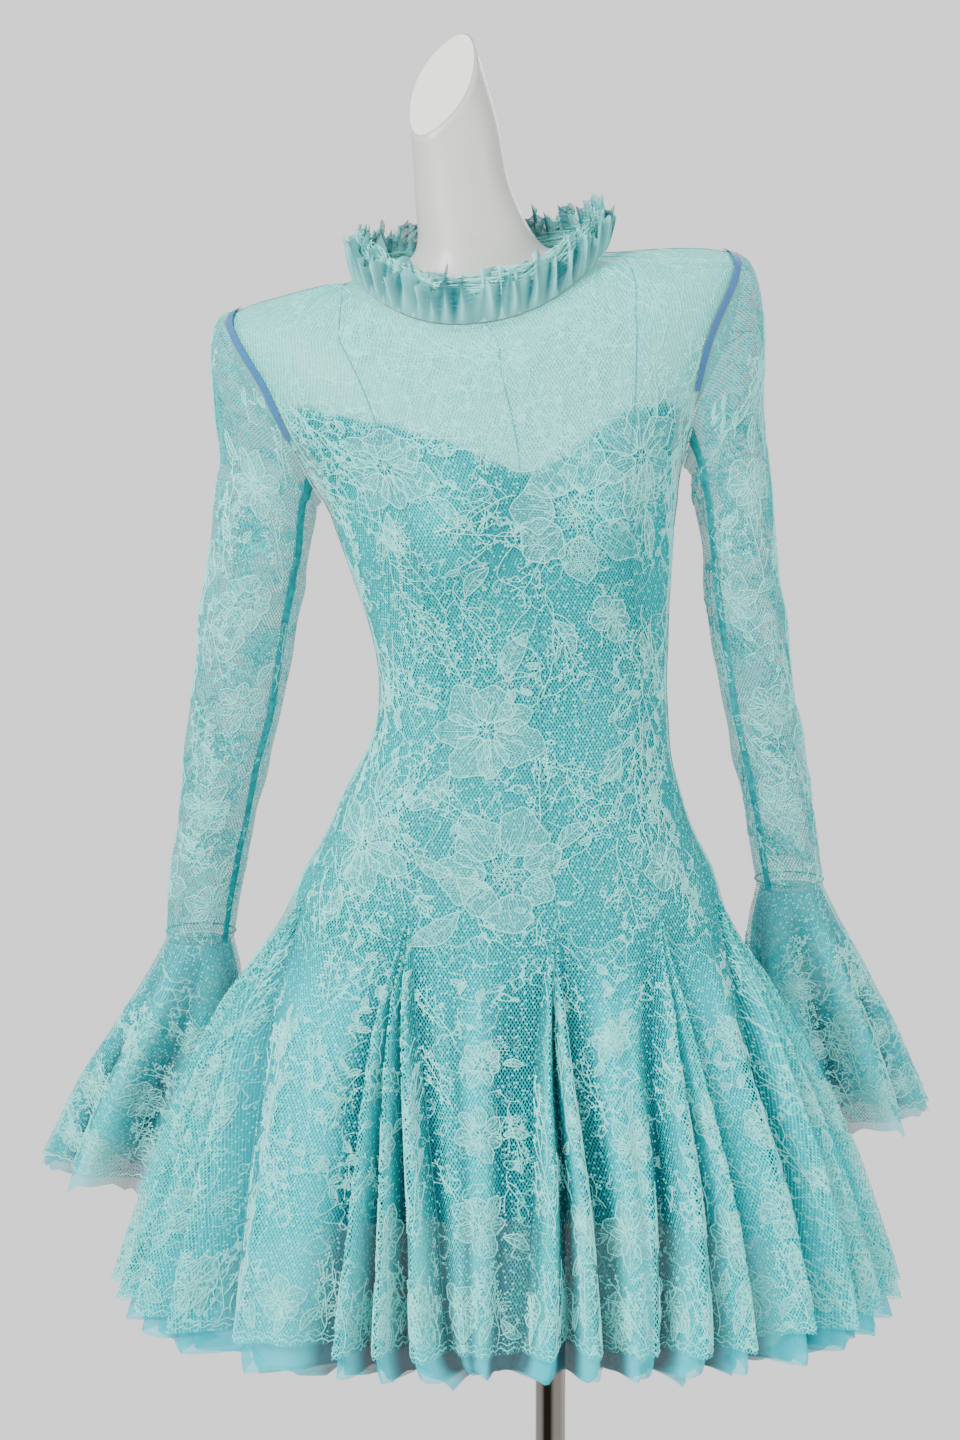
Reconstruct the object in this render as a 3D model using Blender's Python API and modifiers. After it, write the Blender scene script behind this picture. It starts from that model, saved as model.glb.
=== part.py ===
"""Lace mini dress with a flared godet skirt, long sleeves, bell cuffs and a ruffled collar,
worn by a limbless dress form on a pole and a round base. Metres, +Z up, the front faces -Y."""

import math
from collections import namedtuple

import bmesh
import bpy
import numpy as np

# Cloth walls and the clearances between layers
LACE = 0.0010
LINING = 0.0010
SEAM_GAP = 0.0003
GODET_TRIM = 0.0006
FORM_INSET = 0.0019
SHOULDER_INSET = 0.0046
SHOULDER_SPREAD = 4.4
FORM_TO_LINING = 0.0004
LINING_TO_LACE = 0.0006
YOKE_LIFT = 0.0009
YOKE_START = 0.002
YOKE_FADE = 0.025
LAP_GAP = 0.0010
LACE_LIFT = FORM_TO_LINING + LINING + LINING_TO_LACE

# Stand
BASE_RADIUS = 0.160
BASE_HEIGHT = 0.012
BASE_BEVEL = 0.003
POLE_RADIUS = 0.01225
POLE_GAP = 0.0002
FORM_FOOT = 0.665

# Section curve: 2 is an ellipse, more is squarer
SECTION_POWER = 2.3

# Bust
BUST_RISE = 0.020
BUST_HEIGHT = 1.072
BUST_WIDTH = 0.040
BUST_TALL = 0.046
BUST_X = (-0.095, 0.045)

# Sections of the form, foot to neck cap. Heights of the ring at its side, front and back, its
# middle, half width, reach to the front and to the back, rise per metre of x and of y, then the
# angles in degrees of the seams round the ring: front left, centre front, front right.
Ring = namedtuple("Ring", "side front back x half fore aft roll pitch left mid right")
RINGS = [
    Ring(0.665, 0.665, 0.665, -0.0340, 0.1200, 0.085, 0.095, 0, 0, -24, 10, 41),
    Ring(0.672, 0.672, 0.672, -0.0345, 0.1500, 0.105, 0.122, 0, 0, -24, 10, 41),
    Ring(0.700, 0.700, 0.700, -0.0350, 0.1650, 0.116, 0.136, 0, 0, -24, 10, 41),
    Ring(0.735, 0.735, 0.735, -0.0350, 0.1700, 0.118, 0.140, 0, 0, -24, 10, 41),
    Ring(0.775, 0.775, 0.775, -0.0352, 0.1683, 0.116, 0.136, 0, 0, -24, 10, 41),
    Ring(0.822, 0.822, 0.822, -0.0327, 0.1450, 0.110, 0.122, 0, 0, -25, 9, 44),
    Ring(0.855, 0.855, 0.855, -0.0322, 0.1322, 0.104, 0.106, 0.01, 0, -27, 8, 48),
    Ring(0.885, 0.885, 0.885, -0.0275, 0.1205, 0.098, 0.096, 0.01, 0, -29, 6, 51),
    Ring(0.914, 0.914, 0.914, -0.0240, 0.1144, 0.093, 0.090, 0.02, 0, -30, 5, 52),
    Ring(0.944, 0.944, 0.944, -0.0238, 0.1126, 0.092, 0.088, 0.02, 0, -31, 4, 52),
    Ring(0.970, 0.970, 0.970, -0.0244, 0.1142, 0.094, 0.089, 0.03, 0, -31, 4, 50),
    Ring(1.000, 1.000, 1.000, -0.0275, 0.1178, 0.098, 0.091, 0.04, 0, -31, 5, 47),
    Ring(1.035, 1.035, 1.035, -0.0320, 0.1246, 0.104, 0.094, 0.06, 0, -31, 5, 44),
    Ring(1.057, 1.057, 1.057, -0.0350, 0.1288, 0.107, 0.096, 0.07, 0, -31, 5, 42),
    Ring(1.079, 1.079, 1.079, -0.0372, 0.1339, 0.108, 0.098, 0.08, 0, -30, 5, 41),
    Ring(1.103, 1.102, 1.103, -0.0400, 0.1400, 0.108, 0.100, 0.10, 0, -29, 4, 39),
    Ring(1.138, 1.133, 1.136, -0.0450, 0.1600, 0.106, 0.101, 0.11, 0, -28, 4, 37),
    Ring(1.178, 1.163, 1.175, -0.0495, 0.1880, 0.101, 0.099, 0.12, 0, -25, 3, 33),
    Ring(1.214, 1.188, 1.210, -0.0525, 0.2045, 0.095, 0.093, 0.12, 0, -25, 2, 31),
    Ring(1.243, 1.205, 1.236, -0.0540, 0.2080, 0.089, 0.085, 0.12, 0, -27, 2, 31),
    Ring(1.2595, 1.215, 1.253, -0.0560, 0.1960, 0.084, 0.074, 0.12, 0, -31, 2, 34),
    Ring(1.2675, 1.2205, 1.262, -0.0575, 0.1550, 0.081, 0.064, 0.12, 0, -42, 2, 48),
    Ring(1.2705, 1.2245, 1.268, -0.0580, 0.1220, 0.079, 0.056, 0.11, 0, -60, 2, 68),
    Ring(1.2720, 1.2275, 1.273, -0.0584, 0.0990, 0.077, 0.050, 0.11, 0, -90, 2, 90),
    Ring(1.2800, 1.2450, 1.284, -0.0590, 0.0700, 0.060, 0.044, 0.10, 0, -90, 2, 90),
    Ring(1.2930, 1.2720, 1.297, -0.0610, 0.0500, 0.046, 0.041, 0.08, 0, -90, 2, 90),
    Ring(1.3330, 1.3250, 1.335, -0.0720, 0.0397, 0.038, 0.042, 0.15, 0.1, -90, 2, 90),
    Ring(1.3740, 1.3740, 1.374, -0.0780, 0.0350, 0.035, 0.040, 0.45, 0.5, -90, 2, 90),
    Ring(1.4150, 1.4150, 1.415, -0.0874, 0.0280, 0.033, 0.034, 0.84, 1.0, -90, 2, 90),
]
HIP = 4
UNDERARM = 15
TIP = 20
NECK = 23
ARMHOLE_CUT = 32.0
ARMHOLE_POWER = 0.8
BACK_SEAMS = (128.0, 178.0, 232.0)
SIDE_TURN = (20.0, -14.0)
SIDE_TURN_POWER = 1.4

# Columns round the form and the rows of its cloth
FORM_COLUMNS = 32
WAIST_ROWS = (4, 5.5, 7, 9, 11, 12.5, 13.5)
CHEST_ROWS = (14.25, 15, 16, 17, 18, 19, 20, 21, 22, 22.5)
NECK_ROW = 23

# Lining: height of the sweetheart edge round the bust, as angle and height
SWEETHEART = (
    (-180, 1.112), (-120, 1.112), (-90, 1.118), (-70, 1.158), (-45, 1.163), (-22, 1.150),
    (-8, 1.136), (5, 1.112), (18, 1.130), (32, 1.160), (48, 1.168), (75, 1.150), (90, 1.135),
    (120, 1.118), (180, 1.112),
)
LINING_FOOT_ROWS = (2, 3)
LINING_TOP_ROWS = (14.25, 15, 15.6, 17)
LINING_TOP_CLOSE = 0.0025
LINING_CLOSE_ROWS = 1.5
LINING_TURN_ROW = 14.9
UNDERARM_DROP = 0.85
LINING_LEAST_STEP = 0.04

# Skirt rings below the hip: height, middle, half width, reach to the front and back
Flare = namedtuple("Flare", "z x half fore aft")
FLARES = [
    Flare(0.7400, -0.0385, 0.1850, 0.134, 0.149),
    Flare(0.7000, -0.0405, 0.2080, 0.156, 0.158),
    Flare(0.6490, -0.0400, 0.2310, 0.182, 0.174),
    Flare(0.5580, -0.0360, 0.2660, 0.214, 0.202),
    Flare(0.4550, -0.0360, 0.2980, 0.240, 0.234),
    Flare(0.4370, -0.0360, 0.3030, 0.244, 0.238),
]
LACE_HEM = 5.0
NET_HEM = 6.0
NET_DROP = 0.0068
NET_SWING = 0.5
NET_START = 1.2
GODET_TOP = 0.35
FOLD_POWER = 1.6
SPREAD_POWER = 0.85
MOST_SPREAD = 1.2
INSET_RINGS = 3

# Pieces of the skirt: name, hip angles, hem angles, ridges and their reach at the hem
Gore = namedtuple("Gore", "name hip_left hip_right hem_left hem_right ridges reach")
GORES = [
    Gore("side_front_left", -70, -24, -47, -24, 1, 0.016),
    Gore("godet_front_left", -24, -24, -24, -7, 3, 0.015),
    Gore("centre_front_left", -24, 10, -7, 1, 1, -0.010),
    Gore("godet_centre_front", 10, 10, 1, 12, 2, 0.016),
    Gore("centre_front_right", 10, 41, 12, 21, 1, 0.008),
    Gore("godet_front_right", 41, 41, 21, 36, 2, 0.017),
    Gore("side_front_right", 41, 76, 36, 50, 1, 0.017),
    Gore("godet_side_right", 76, 76, 50, 92, 4, 0.016),
    Gore("side_back_right", 76, 128, 92, 118, 1, 0.014),
    Gore("godet_back_right", 128, 128, 118, 145, 3, 0.014),
    Gore("centre_back_right", 128, 178, 145, 167, 1, 0.014),
    Gore("godet_centre_back", 178, 178, 167, 193, 3, 0.014),
    Gore("centre_back_left", 178, 232, 193, 217, 1, 0.014),
    Gore("godet_back_left", 232, 232, 217, 245, 3, 0.014),
    Gore("side_back_left", 232, 290, 245, 268, 1, 0.014),
    Gore("godet_side_left", 290, 290, 268, 313, 4, 0.017),
]
VALLEY = -0.015
COLUMNS_A_FOLD = 6
NET_COLUMNS_A_FOLD = 3
PANEL_COLUMNS = 6
SKIRT_ROWS = 5

# Sleeves: middle, half across, half fore and aft, tilt of the ring, as it hangs
Hang = namedtuple("Hang", "z x y across fore tilt")
SLEEVE_LEFT = [
    Hang(1.105, -0.2270, 0.000, 0.0430, 0.052, 30),
    Hang(1.050, -0.2345, 0.004, 0.0400, 0.047, 10),
    Hang(1.009, -0.2415, 0.010, 0.0392, 0.044, 3),
    Hang(0.944, -0.2520, 0.026, 0.0385, 0.041, 0),
    Hang(0.879, -0.2647, 0.046, 0.0345, 0.038, 0),
    Hang(0.830, -0.2736, 0.060, 0.0320, 0.036, 0),
    Hang(0.781, -0.2839, 0.074, 0.0303, 0.034, 0),
    Hang(0.7175, -0.2925, 0.088, 0.0278, 0.032, 0),
]
SLEEVE_RIGHT = [
    Hang(1.125, 0.1395, 0.000, 0.0330, 0.052, -30),
    Hang(1.075, 0.1465, 0.004, 0.0300, 0.048, -10),
    Hang(1.009, 0.1544, 0.010, 0.0300, 0.045, -3),
    Hang(0.944, 0.1652, 0.026, 0.0300, 0.042, 0),
    Hang(0.879, 0.1787, 0.046, 0.0290, 0.039, 0),
    Hang(0.830, 0.1890, 0.060, 0.0280, 0.037, 0),
    Hang(0.763, 0.2006, 0.082, 0.0272, 0.034, 0),
]
CUFF_LEFT = [
    Hang(0.7170, -0.2925, 0.088, 0.0284, 0.0326, 0),
    Hang(0.6850, -0.2985, 0.100, 0.0380, 0.0400, 0),
    Hang(0.6350, -0.3130, 0.127, 0.0510, 0.0480, 2),
    Hang(0.5750, -0.3350, 0.163, 0.0620, 0.0540, 4),
    Hang(0.4950, -0.3620, 0.207, 0.0700, 0.0600, 6),
]
CUFF_RIGHT = [
    Hang(0.7625, 0.2006, 0.082, 0.0278, 0.0346, 0),
    Hang(0.7300, 0.2060, 0.095, 0.0370, 0.0400, 0),
    Hang(0.6800, 0.2190, 0.120, 0.0480, 0.0470, -2),
    Hang(0.6200, 0.2370, 0.155, 0.0570, 0.0520, -4),
    Hang(0.5450, 0.2600, 0.198, 0.0640, 0.0570, -6),
]
SLEEVE_COLUMNS = 16
SLEEVE_HEAD_ROWS = 4
SLEEVE_START = 0.0008
HEAD_BULGE = 0.010
HEAD_RISE = 0.6
HEAD_LAP = 0.25
HEAD_UPWARD = 0.55
CUFF_RIDGES = 6
CUFF_COLUMNS = 24
CUFF_ROWS = 4
CUFF_FOLD = 0.008
CUFF_FOLD_POWER = 1.2
UNDER_INSET = 0.003
UNDER_DROP = 1.10

# Collar ruffle
RUFFLE_HEIGHT = 0.036
RUFFLE_WAVES = 22
RUFFLE_DEPTH = 0.0036
RUFFLE_LEAN = 0.004
RUFFLE_SEAT = 0.0010
RUFFLE_SEAT_WAVE = 0.15
RUFFLE_COLUMNS = 88

# Armhole tape
TAPE_START = 0.0004
TAPE_WIDTH = 0.0065
TAPE_THICK = 0.0010
TAPE_SPAN = 0.62
TAPE_COLUMNS = 16


def smooth(rows, at):
    """Columns of a table at any fractional row, on a curve through the rows."""
    rows = np.asarray(rows, float)
    at = np.clip(np.asarray(at, float), 0, len(rows) - 1)
    low = np.minimum(at.astype(int), len(rows) - 2)
    slope = np.gradient(rows, axis=0)
    t = (at - low)[..., None]
    a, b = rows[low], rows[low + 1]
    h = t * t * (3 - 2 * t)
    return (
        a * (1 - h) + b * h
        + slope[low] * t * (1 - t) ** 2
        - slope[low + 1] * t * t * (1 - t)
    )


def section(angle, half, fore, aft):
    """A point of a squarish ring: 0 degrees is the front, 90 the right side."""
    turn = np.radians(angle)
    s, c = np.sin(turn), np.cos(turn)
    power = 2 / SECTION_POWER
    x = half * np.sign(s) * np.abs(s) ** power
    y = -np.where(c > 0, fore, aft) * np.sign(c) * np.abs(c) ** power
    return x, y


def body_point(angle, row):
    """A point on the skin of the form."""
    angle, row = np.broadcast_arrays(np.asarray(angle, float), np.asarray(row, float))
    side, front, back, mid, half, fore, aft, roll, pitch = np.moveaxis(
        smooth([ring[:9] for ring in RINGS], row), -1, 0
    )
    x, y = section(angle, half, fore, aft)
    c = np.cos(np.radians(angle))
    z = side + np.where(c > 0, front - side, back - side) * c * c
    for bust in BUST_X:
        swell = ((mid + x - bust) / BUST_WIDTH) ** 2 + ((z - BUST_HEIGHT) / BUST_TALL) ** 2
        y = y - BUST_RISE * np.exp(-swell) * (c > 0) * np.minimum(1, 4 * np.abs(c))
    return np.stack([mid + x, y, z + roll * x + pitch * y], -1)


def body_frame(angle, row):
    """Skin point, its outward normal and the steps along the angle and the row."""
    da, dr = 0.8, 0.05
    along = (body_point(angle + da, row) - body_point(angle - da, row)) / (2 * da)
    up = (body_point(angle, row + dr) - body_point(angle, row - dr)) / (2 * dr)
    normal = np.cross(along, up)
    normal /= np.linalg.norm(normal, axis=-1, keepdims=True)
    return body_point(angle, row), normal, along, up


def body(angle, row, out):
    """A point held off the skin by a distance."""
    angle, row = np.broadcast_arrays(np.asarray(angle, float), np.asarray(row, float))
    point, normal, _, _ = body_frame(angle, row)
    return point + normal * np.asarray(out, float)[..., None]


def armhole_angle(row):
    """Half angle that the front or the back covers at a row."""
    w = np.clip((np.asarray(row, float) - UNDERARM) / (TIP - UNDERARM), 0, 1)
    return 90.0 - ARMHOLE_CUT * np.sin(np.pi * w) ** ARMHOLE_POWER


def seam_angle(column, row):
    """The angle of a front seam at a row: column 0 is the left, 1 the middle, 2 the right."""
    return float(smooth([ring[9 + column:10 + column] for ring in RINGS], row)[0])


def side_angle(side, row):
    """The side seam: it turns with the hips and runs up to the underarm."""
    w = min(max((row - HIP) / (UNDERARM - HIP), 0), 1)
    turn = SIDE_TURN[0 if side < 0 else 1] * (1 - w) ** SIDE_TURN_POWER
    return 90 * side + turn


def edge_angles(name, row):
    """Left and right angles of a bodice panel at a row."""
    reach = float(armhole_angle(row))
    left, mid, right = (seam_angle(i, row) for i in range(3))
    low = row <= UNDERARM
    front = (side_angle(-1, row), side_angle(1, row)) if low else (-reach, reach)
    back = (side_angle(1, row), 360 + side_angle(-1, row)) if low else (180 - reach, 180 + reach)
    return {
        "side_front_left": (front[0], left),
        "centre_front_left": (left, mid),
        "centre_front_right": (mid, right),
        "side_front_right": (right, front[1]),
        "side_back_right": (back[0], BACK_SEAMS[0]),
        "centre_back_right": (BACK_SEAMS[0], BACK_SEAMS[1]),
        "centre_back_left": (BACK_SEAMS[1], BACK_SEAMS[2]),
        "side_back_left": (BACK_SEAMS[2], back[1]),
    }[name]


def sweetheart(angle):
    """Height of the lining's top edge."""
    angle = (np.asarray(angle, float) + 180) % 360 - 180
    angles, heights = zip(*SWEETHEART)
    return np.interp(angle, angles, heights)


def lace_lift(angle, row):
    """The lace stands off the form by the lining under it, and comes close above the lining."""
    height = body_point(angle, row)[..., 2]
    over = np.clip((height - sweetheart(angle) - YOKE_START) / YOKE_FADE, 0, 1)
    over = over * over * (3 - 2 * over)
    return LACE_LIFT * (1 - over) + YOKE_LIFT * over


def skirt_fold(u, ridges, reach):
    """Offset of the cloth across a gore: valleys at both edges, ridges between."""
    wave = 0.5 - 0.5 * np.cos(2 * np.pi * ridges * u)
    return VALLEY + (reach - VALLEY) * wave


def skirt_point(angle, drop, offset):
    """A point on the skirt: drop 0 is the hip line, whole numbers are the flare rings."""
    angle, drop = np.broadcast_arrays(np.asarray(angle, float), np.asarray(drop, float))
    hip = body(angle, np.full(angle.shape, float(HIP)), np.full(angle.shape, LACE_LIFT))
    rings = [hip]
    for flare in FLARES:
        x, y = section(angle, flare.half, flare.fore, flare.aft)
        rings.append(np.stack([flare.x + x, y, np.full(x.shape, flare.z)], -1))
    rings = np.stack(rings, -2)
    top = len(FLARES)
    low = np.clip(drop.astype(int), 0, top - 1)
    slope = np.gradient(rings, axis=-2)

    def pick(values, at):
        return np.take_along_axis(values, at[..., None, None], -2)[..., 0, :]

    t = (drop - low)[..., None]
    h = t * t * (3 - 2 * t)
    point = (
        pick(rings, low) * (1 - h) + pick(rings, low + 1) * h
        + pick(slope, low) * t * (1 - t) ** 2
        - pick(slope, low + 1) * t * t * (1 - t)
    )
    turn = np.radians(angle)
    outward = np.stack([np.sin(turn), -np.cos(turn), np.zeros(turn.shape)], -1)
    return point + outward * np.asarray(offset, float)[..., None]


def gore_angle(gore, u, drop):
    """The angle at a share of the way across a gore."""
    w = np.clip(drop / LACE_HEM, 0, MOST_SPREAD) ** SPREAD_POWER
    left = gore.hip_left + (gore.hem_left - gore.hip_left) * w
    right = gore.hip_right + (gore.hem_right - gore.hip_right) * w
    return left + (right - left) * u


def fold_growth(drop):
    """How deep the folds are at a drop, as a share of their depth at the hem."""
    return np.clip(drop / LACE_HEM, 0, MOST_SPREAD) ** FOLD_POWER


def gore_point(gore, u, drop, swing=1.0, inset=0.0):
    """A point on the lace of a gore, or on the net below it with less swing."""
    angle = gore_angle(gore, u, drop)
    fold = skirt_fold(u, gore.ridges, gore.reach) * fold_growth(drop)
    low = VALLEY * fold_growth(drop)
    inset = inset * np.clip(drop / INSET_RINGS, 0, 1)
    return skirt_point(angle, drop, fold * swing + low * (1 - swing) - inset)


def gore_normals(gore, u, drop):
    """Outward normals of a gore, the same on both pieces that meet at a seam."""
    du, dd = 0.01, 0.02
    level = np.full(u.shape, drop)
    along = gore_point(gore, u + du, level) - gore_point(gore, u - du, level)
    up = gore_point(gore, u, level - dd) - gore_point(gore, u, level + dd)
    normal = np.cross(along, up)
    return normal / np.linalg.norm(normal, axis=-1, keepdims=True)


def wall_normals(rows, closed):
    """Outward normals of rows of points: each row may hold its own number of points."""
    found = []
    for index, row in enumerate(rows):
        if closed:
            along = np.roll(row, -1, 0) - np.roll(row, 1, 0)
        else:
            along = np.gradient(row, axis=0)
        below = rows[max(index - 1, 0)]
        above = rows[min(index + 1, len(rows) - 1)]
        u = np.linspace(0, 1, len(row), endpoint=not closed)

        def match(other):
            if len(other) == len(row):
                return other
            at = np.linspace(0, 1, len(other))
            return np.stack([np.interp(u, at, other[:, k]) for k in range(3)], -1)

        normal = np.cross(along, match(above) - match(below))
        found.append(normal / np.linalg.norm(normal, axis=-1, keepdims=True))
    return found


def trim(row, start, end):
    """The row with its ends drawn in along itself."""
    row = row.copy()
    for end_point, next_point, cut in ((0, 1, start), (-1, -2, end)):
        step = row[next_point] - row[end_point]
        row[end_point] += step * (cut / np.linalg.norm(step))
    return row


def stitch(low, high, closed):
    """Faces between two rows of vertex numbers."""
    faces = []
    if len(low) == len(high):
        count = len(low)
        for i in range(count if closed else count - 1):
            j = (i + 1) % count
            faces.append((low[i], low[j], high[j], high[i]))
        return faces
    i = j = 0
    while i < len(low) - 1 or j < len(high) - 1:
        next_low = (i + 1) / (len(low) - 1) if i < len(low) - 1 else 2
        next_high = (j + 1) / (len(high) - 1) if j < len(high) - 1 else 2
        if next_low <= next_high:
            faces.append((low[i], low[i + 1], high[j]))
            i += 1
        else:
            faces.append((low[i], high[j + 1], high[j]))
            j += 1
    return faces


def cloth(name, rows, thick, stuff, closed=False, normals=None, group=None):
    """A cloth wall: the rows are its inner face, bottom to top, and it is thick outward."""
    normals = normals or wall_normals(rows, closed)
    outer = [row + normal * thick for row, normal in zip(rows, normals)]
    mesh = bmesh.new()
    numbers = []
    for side in (rows, outer):
        numbers.append([[mesh.verts.new(point) for point in row] for row in side])
    inner_verts, outer_verts = numbers
    faces = []
    for verts in (inner_verts, outer_verts):
        for low, high in zip(verts, verts[1:]):
            faces += stitch(low, high, closed)
    for end in (0, -1):
        faces += stitch(inner_verts[end], outer_verts[end], closed)
    if not closed:
        for end in (0, -1):
            inner_edge = [row[end] for row in inner_verts]
            outer_edge = [row[end] for row in outer_verts]
            faces += stitch(inner_edge, outer_edge, False)
    for face in faces:
        mesh.faces.new(face)
    return finish(name, mesh, stuff, group)


def finish(name, mesh, stuff, group):
    """Turns a mesh into a named solid in the dress's collection."""
    bmesh.ops.recalc_face_normals(mesh, faces=mesh.faces)
    data = bpy.data.meshes.new(name)
    mesh.to_mesh(data)
    mesh.free()
    data.polygons.foreach_set("use_smooth", [True] * len(data.polygons))
    data.materials.append(stuff)
    solid = bpy.data.objects.new(name, data)
    group.objects.link(solid)
    return solid


def material(name, colour, roughness, metallic=0.0):
    made = bpy.data.materials.new(name)
    made.use_nodes = True
    shader = made.node_tree.nodes["Principled BSDF"]
    shader.inputs["Base Color"].default_value = (*colour, 1)
    shader.inputs["Roughness"].default_value = roughness
    shader.inputs["Metallic"].default_value = metallic
    made.diffuse_color = (*colour, 1)
    return made


def build_form(group, skin):
    """The form: rings from its foot to the slanted cap, closed by flat ends."""
    mesh = bmesh.new()
    angles = np.linspace(0, 360, FORM_COLUMNS, endpoint=False)
    rows = []
    levels = (0, 1, 2, 3) + WAIST_ROWS + CHEST_ROWS[:-1] + tuple(range(NECK, len(RINGS)))
    for level in levels:
        shoulder = math.exp(-((level - TIP + 1) / SHOULDER_SPREAD) ** 2)
        inset = (FORM_INSET + SHOULDER_INSET * shoulder) * (level > 0)
        ring = body(angles, np.full(FORM_COLUMNS, float(level)), -inset)
        rows.append([mesh.verts.new(point) for point in ring])
    for low, high in zip(rows, rows[1:]):
        for face in stitch(low, high, True):
            mesh.faces.new(face)
    mesh.faces.new(rows[0])
    mesh.faces.new(rows[-1])
    return finish("form", mesh, skin, group)


def build_panel(gore, group, lace):
    """A lace panel: the fitted part from hip to neck or shoulder, then the flared part."""
    top_rows = list(WAIST_ROWS + CHEST_ROWS)
    if not gore.name.startswith("side_front"):
        top_rows.append(NECK_ROW)
    rows, normals = [], []
    u = np.linspace(0, 1, PANEL_COLUMNS)
    for drop in np.linspace(LACE_HEM, GODET_TOP, SKIRT_ROWS):
        row = gore_point(gore, u, np.full(PANEL_COLUMNS, drop))
        rows.append(trim(row, SEAM_GAP / 2, SEAM_GAP / 2))
        normals.append(gore_normals(gore, u, drop))
    for at in top_rows:
        left, right = edge_angles(gore.name, at)
        angle = np.linspace(left, right, PANEL_COLUMNS)
        level = np.full(PANEL_COLUMNS, float(at))
        row = body(angle, level, lace_lift(angle, level))
        rows.append(trim(row, SEAM_GAP / 2, SEAM_GAP / 2))
        normals.append(body_frame(angle, level)[1])
    return cloth("lace_" + gore.name, rows, LACE, lace, normals=normals, group=group)


def build_godet(gore, group, lace):
    """A godet: a narrow head at the hip, gathered folds that open to the hem."""
    count = gore.ridges * COLUMNS_A_FOLD + 1
    u = np.linspace(0, 1, count)
    rows, normals = [], []
    for drop in np.linspace(LACE_HEM, GODET_TOP, SKIRT_ROWS):
        row = gore_point(gore, u, np.full(count, drop))
        rows.append(trim(row, GODET_TRIM, GODET_TRIM))
        normals.append(gore_normals(gore, u, drop))
    return cloth("lace_" + gore.name, rows, LACE, lace, normals=normals, group=group)


def underarm_row(angle):
    """The row at which a line up the body meets the lower edge of an armhole."""
    from_front = np.abs((np.asarray(angle, float) + 180) % 360 - 180)
    from_middle = np.minimum(from_front, 180 - from_front)
    bite = np.clip((90 - from_middle) / ARMHOLE_CUT, 0, 1) ** (1 / ARMHOLE_POWER)
    return np.where(
        from_middle < 90 - ARMHOLE_CUT, NECK,
        UNDERARM + (TIP - UNDERARM) * np.arcsin(bite) / np.pi,
    )


def build_lining(group, silk):
    """The strapless lining: a front and a back, foot to the sweetheart edge."""
    panels = [gore.name for gore in GORES if not gore.name.startswith("godet")]
    fitted = LINING_FOOT_ROWS + WAIST_ROWS + LINING_TOP_ROWS
    for name, parts in (("front", panels[:4]), ("back", panels[4:])):
        rows, normals = [], []
        for at in fitted:
            edges = [edge_angles(part, min(at, LINING_TURN_ROW)) for part in parts]
            spans = [np.linspace(left, right, PANEL_COLUMNS) for left, right in edges]
            angle = np.concatenate([spans[0][:1]] + [span[1:] for span in spans])
            top = row_of_height(angle, sweetheart(angle))
            top = np.minimum(top, underarm_row(angle) - UNDERARM_DROP)
            shy = (fitted[-1] - at) * LINING_LEAST_STEP
            level = np.minimum(float(at), top - shy)
            close = np.clip((level - WAIST_ROWS[-1]) / LINING_CLOSE_ROWS, 0, 1) * LINING_TOP_CLOSE
            row = body(angle, level, FORM_TO_LINING - close)
            rows.append(trim(row, SEAM_GAP / 2, SEAM_GAP / 2))
            normals.append(body_frame(angle, level)[1])
        cloth("lining_" + name, rows, LINING, silk, normals=normals, group=group)


def row_of_height(angle, height):
    """The table row at which the skin reaches a height, by halving."""
    low = np.full(angle.shape, 0.0)
    high = np.full(angle.shape, float(NECK))
    for _ in range(24):
        middle = (low + high) / 2
        over = body_point(angle, middle)[..., 2] > height
        high = np.where(over, middle, high)
        low = np.where(over, low, middle)
    return (low + high) / 2


def build_under_skirt(group, net):
    """The net layer: it follows the folds of the lace from inside and hangs lower."""
    rows = []
    for drop in np.linspace(NET_HEM, NET_START, SKIRT_ROWS):
        points = []
        for gore in GORES:
            count = gore.ridges * NET_COLUMNS_A_FOLD if "godet" in gore.name else 3
            u = np.linspace(0, 1, count, endpoint=False)
            level = np.full(count, drop)
            points.append(gore_point(gore, u, level, NET_SWING, NET_DROP))
        rows.append(np.concatenate(points))
    cloth("under_skirt", rows, LACE, net, closed=True, group=group)


def armhole(side, turn, lift):
    """The edge of the armhole: turn 0 at the shoulder tip, 90 at the front, 180 underarm."""
    turn = np.asarray(turn, float) % 360
    w = 0.5 + 0.5 * np.cos(np.radians(turn))
    row = UNDERARM + (TIP - UNDERARM) * w
    reach = armhole_angle(row)
    front = turn < 180
    angle = np.where(front, side * reach, 180 - side * reach)
    return angle, row, body(angle, row, lace_lift(angle, row) + lift)


def hang_ring(hang, side, count, grow=0.0):
    """A ring of a sleeve: it starts at the outer side and goes by the front."""
    turn = np.linspace(0, 2 * np.pi, count, endpoint=False)
    tilt = math.radians(abs(hang.tilt))
    reach = (hang.across + grow) * np.cos(turn)
    x = hang.x + side * reach * math.cos(tilt)
    y = hang.y - (hang.fore + grow) * np.sin(turn)
    z = hang.z + reach * math.sin(tilt)
    return np.stack([x, y, z], -1)


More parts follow.
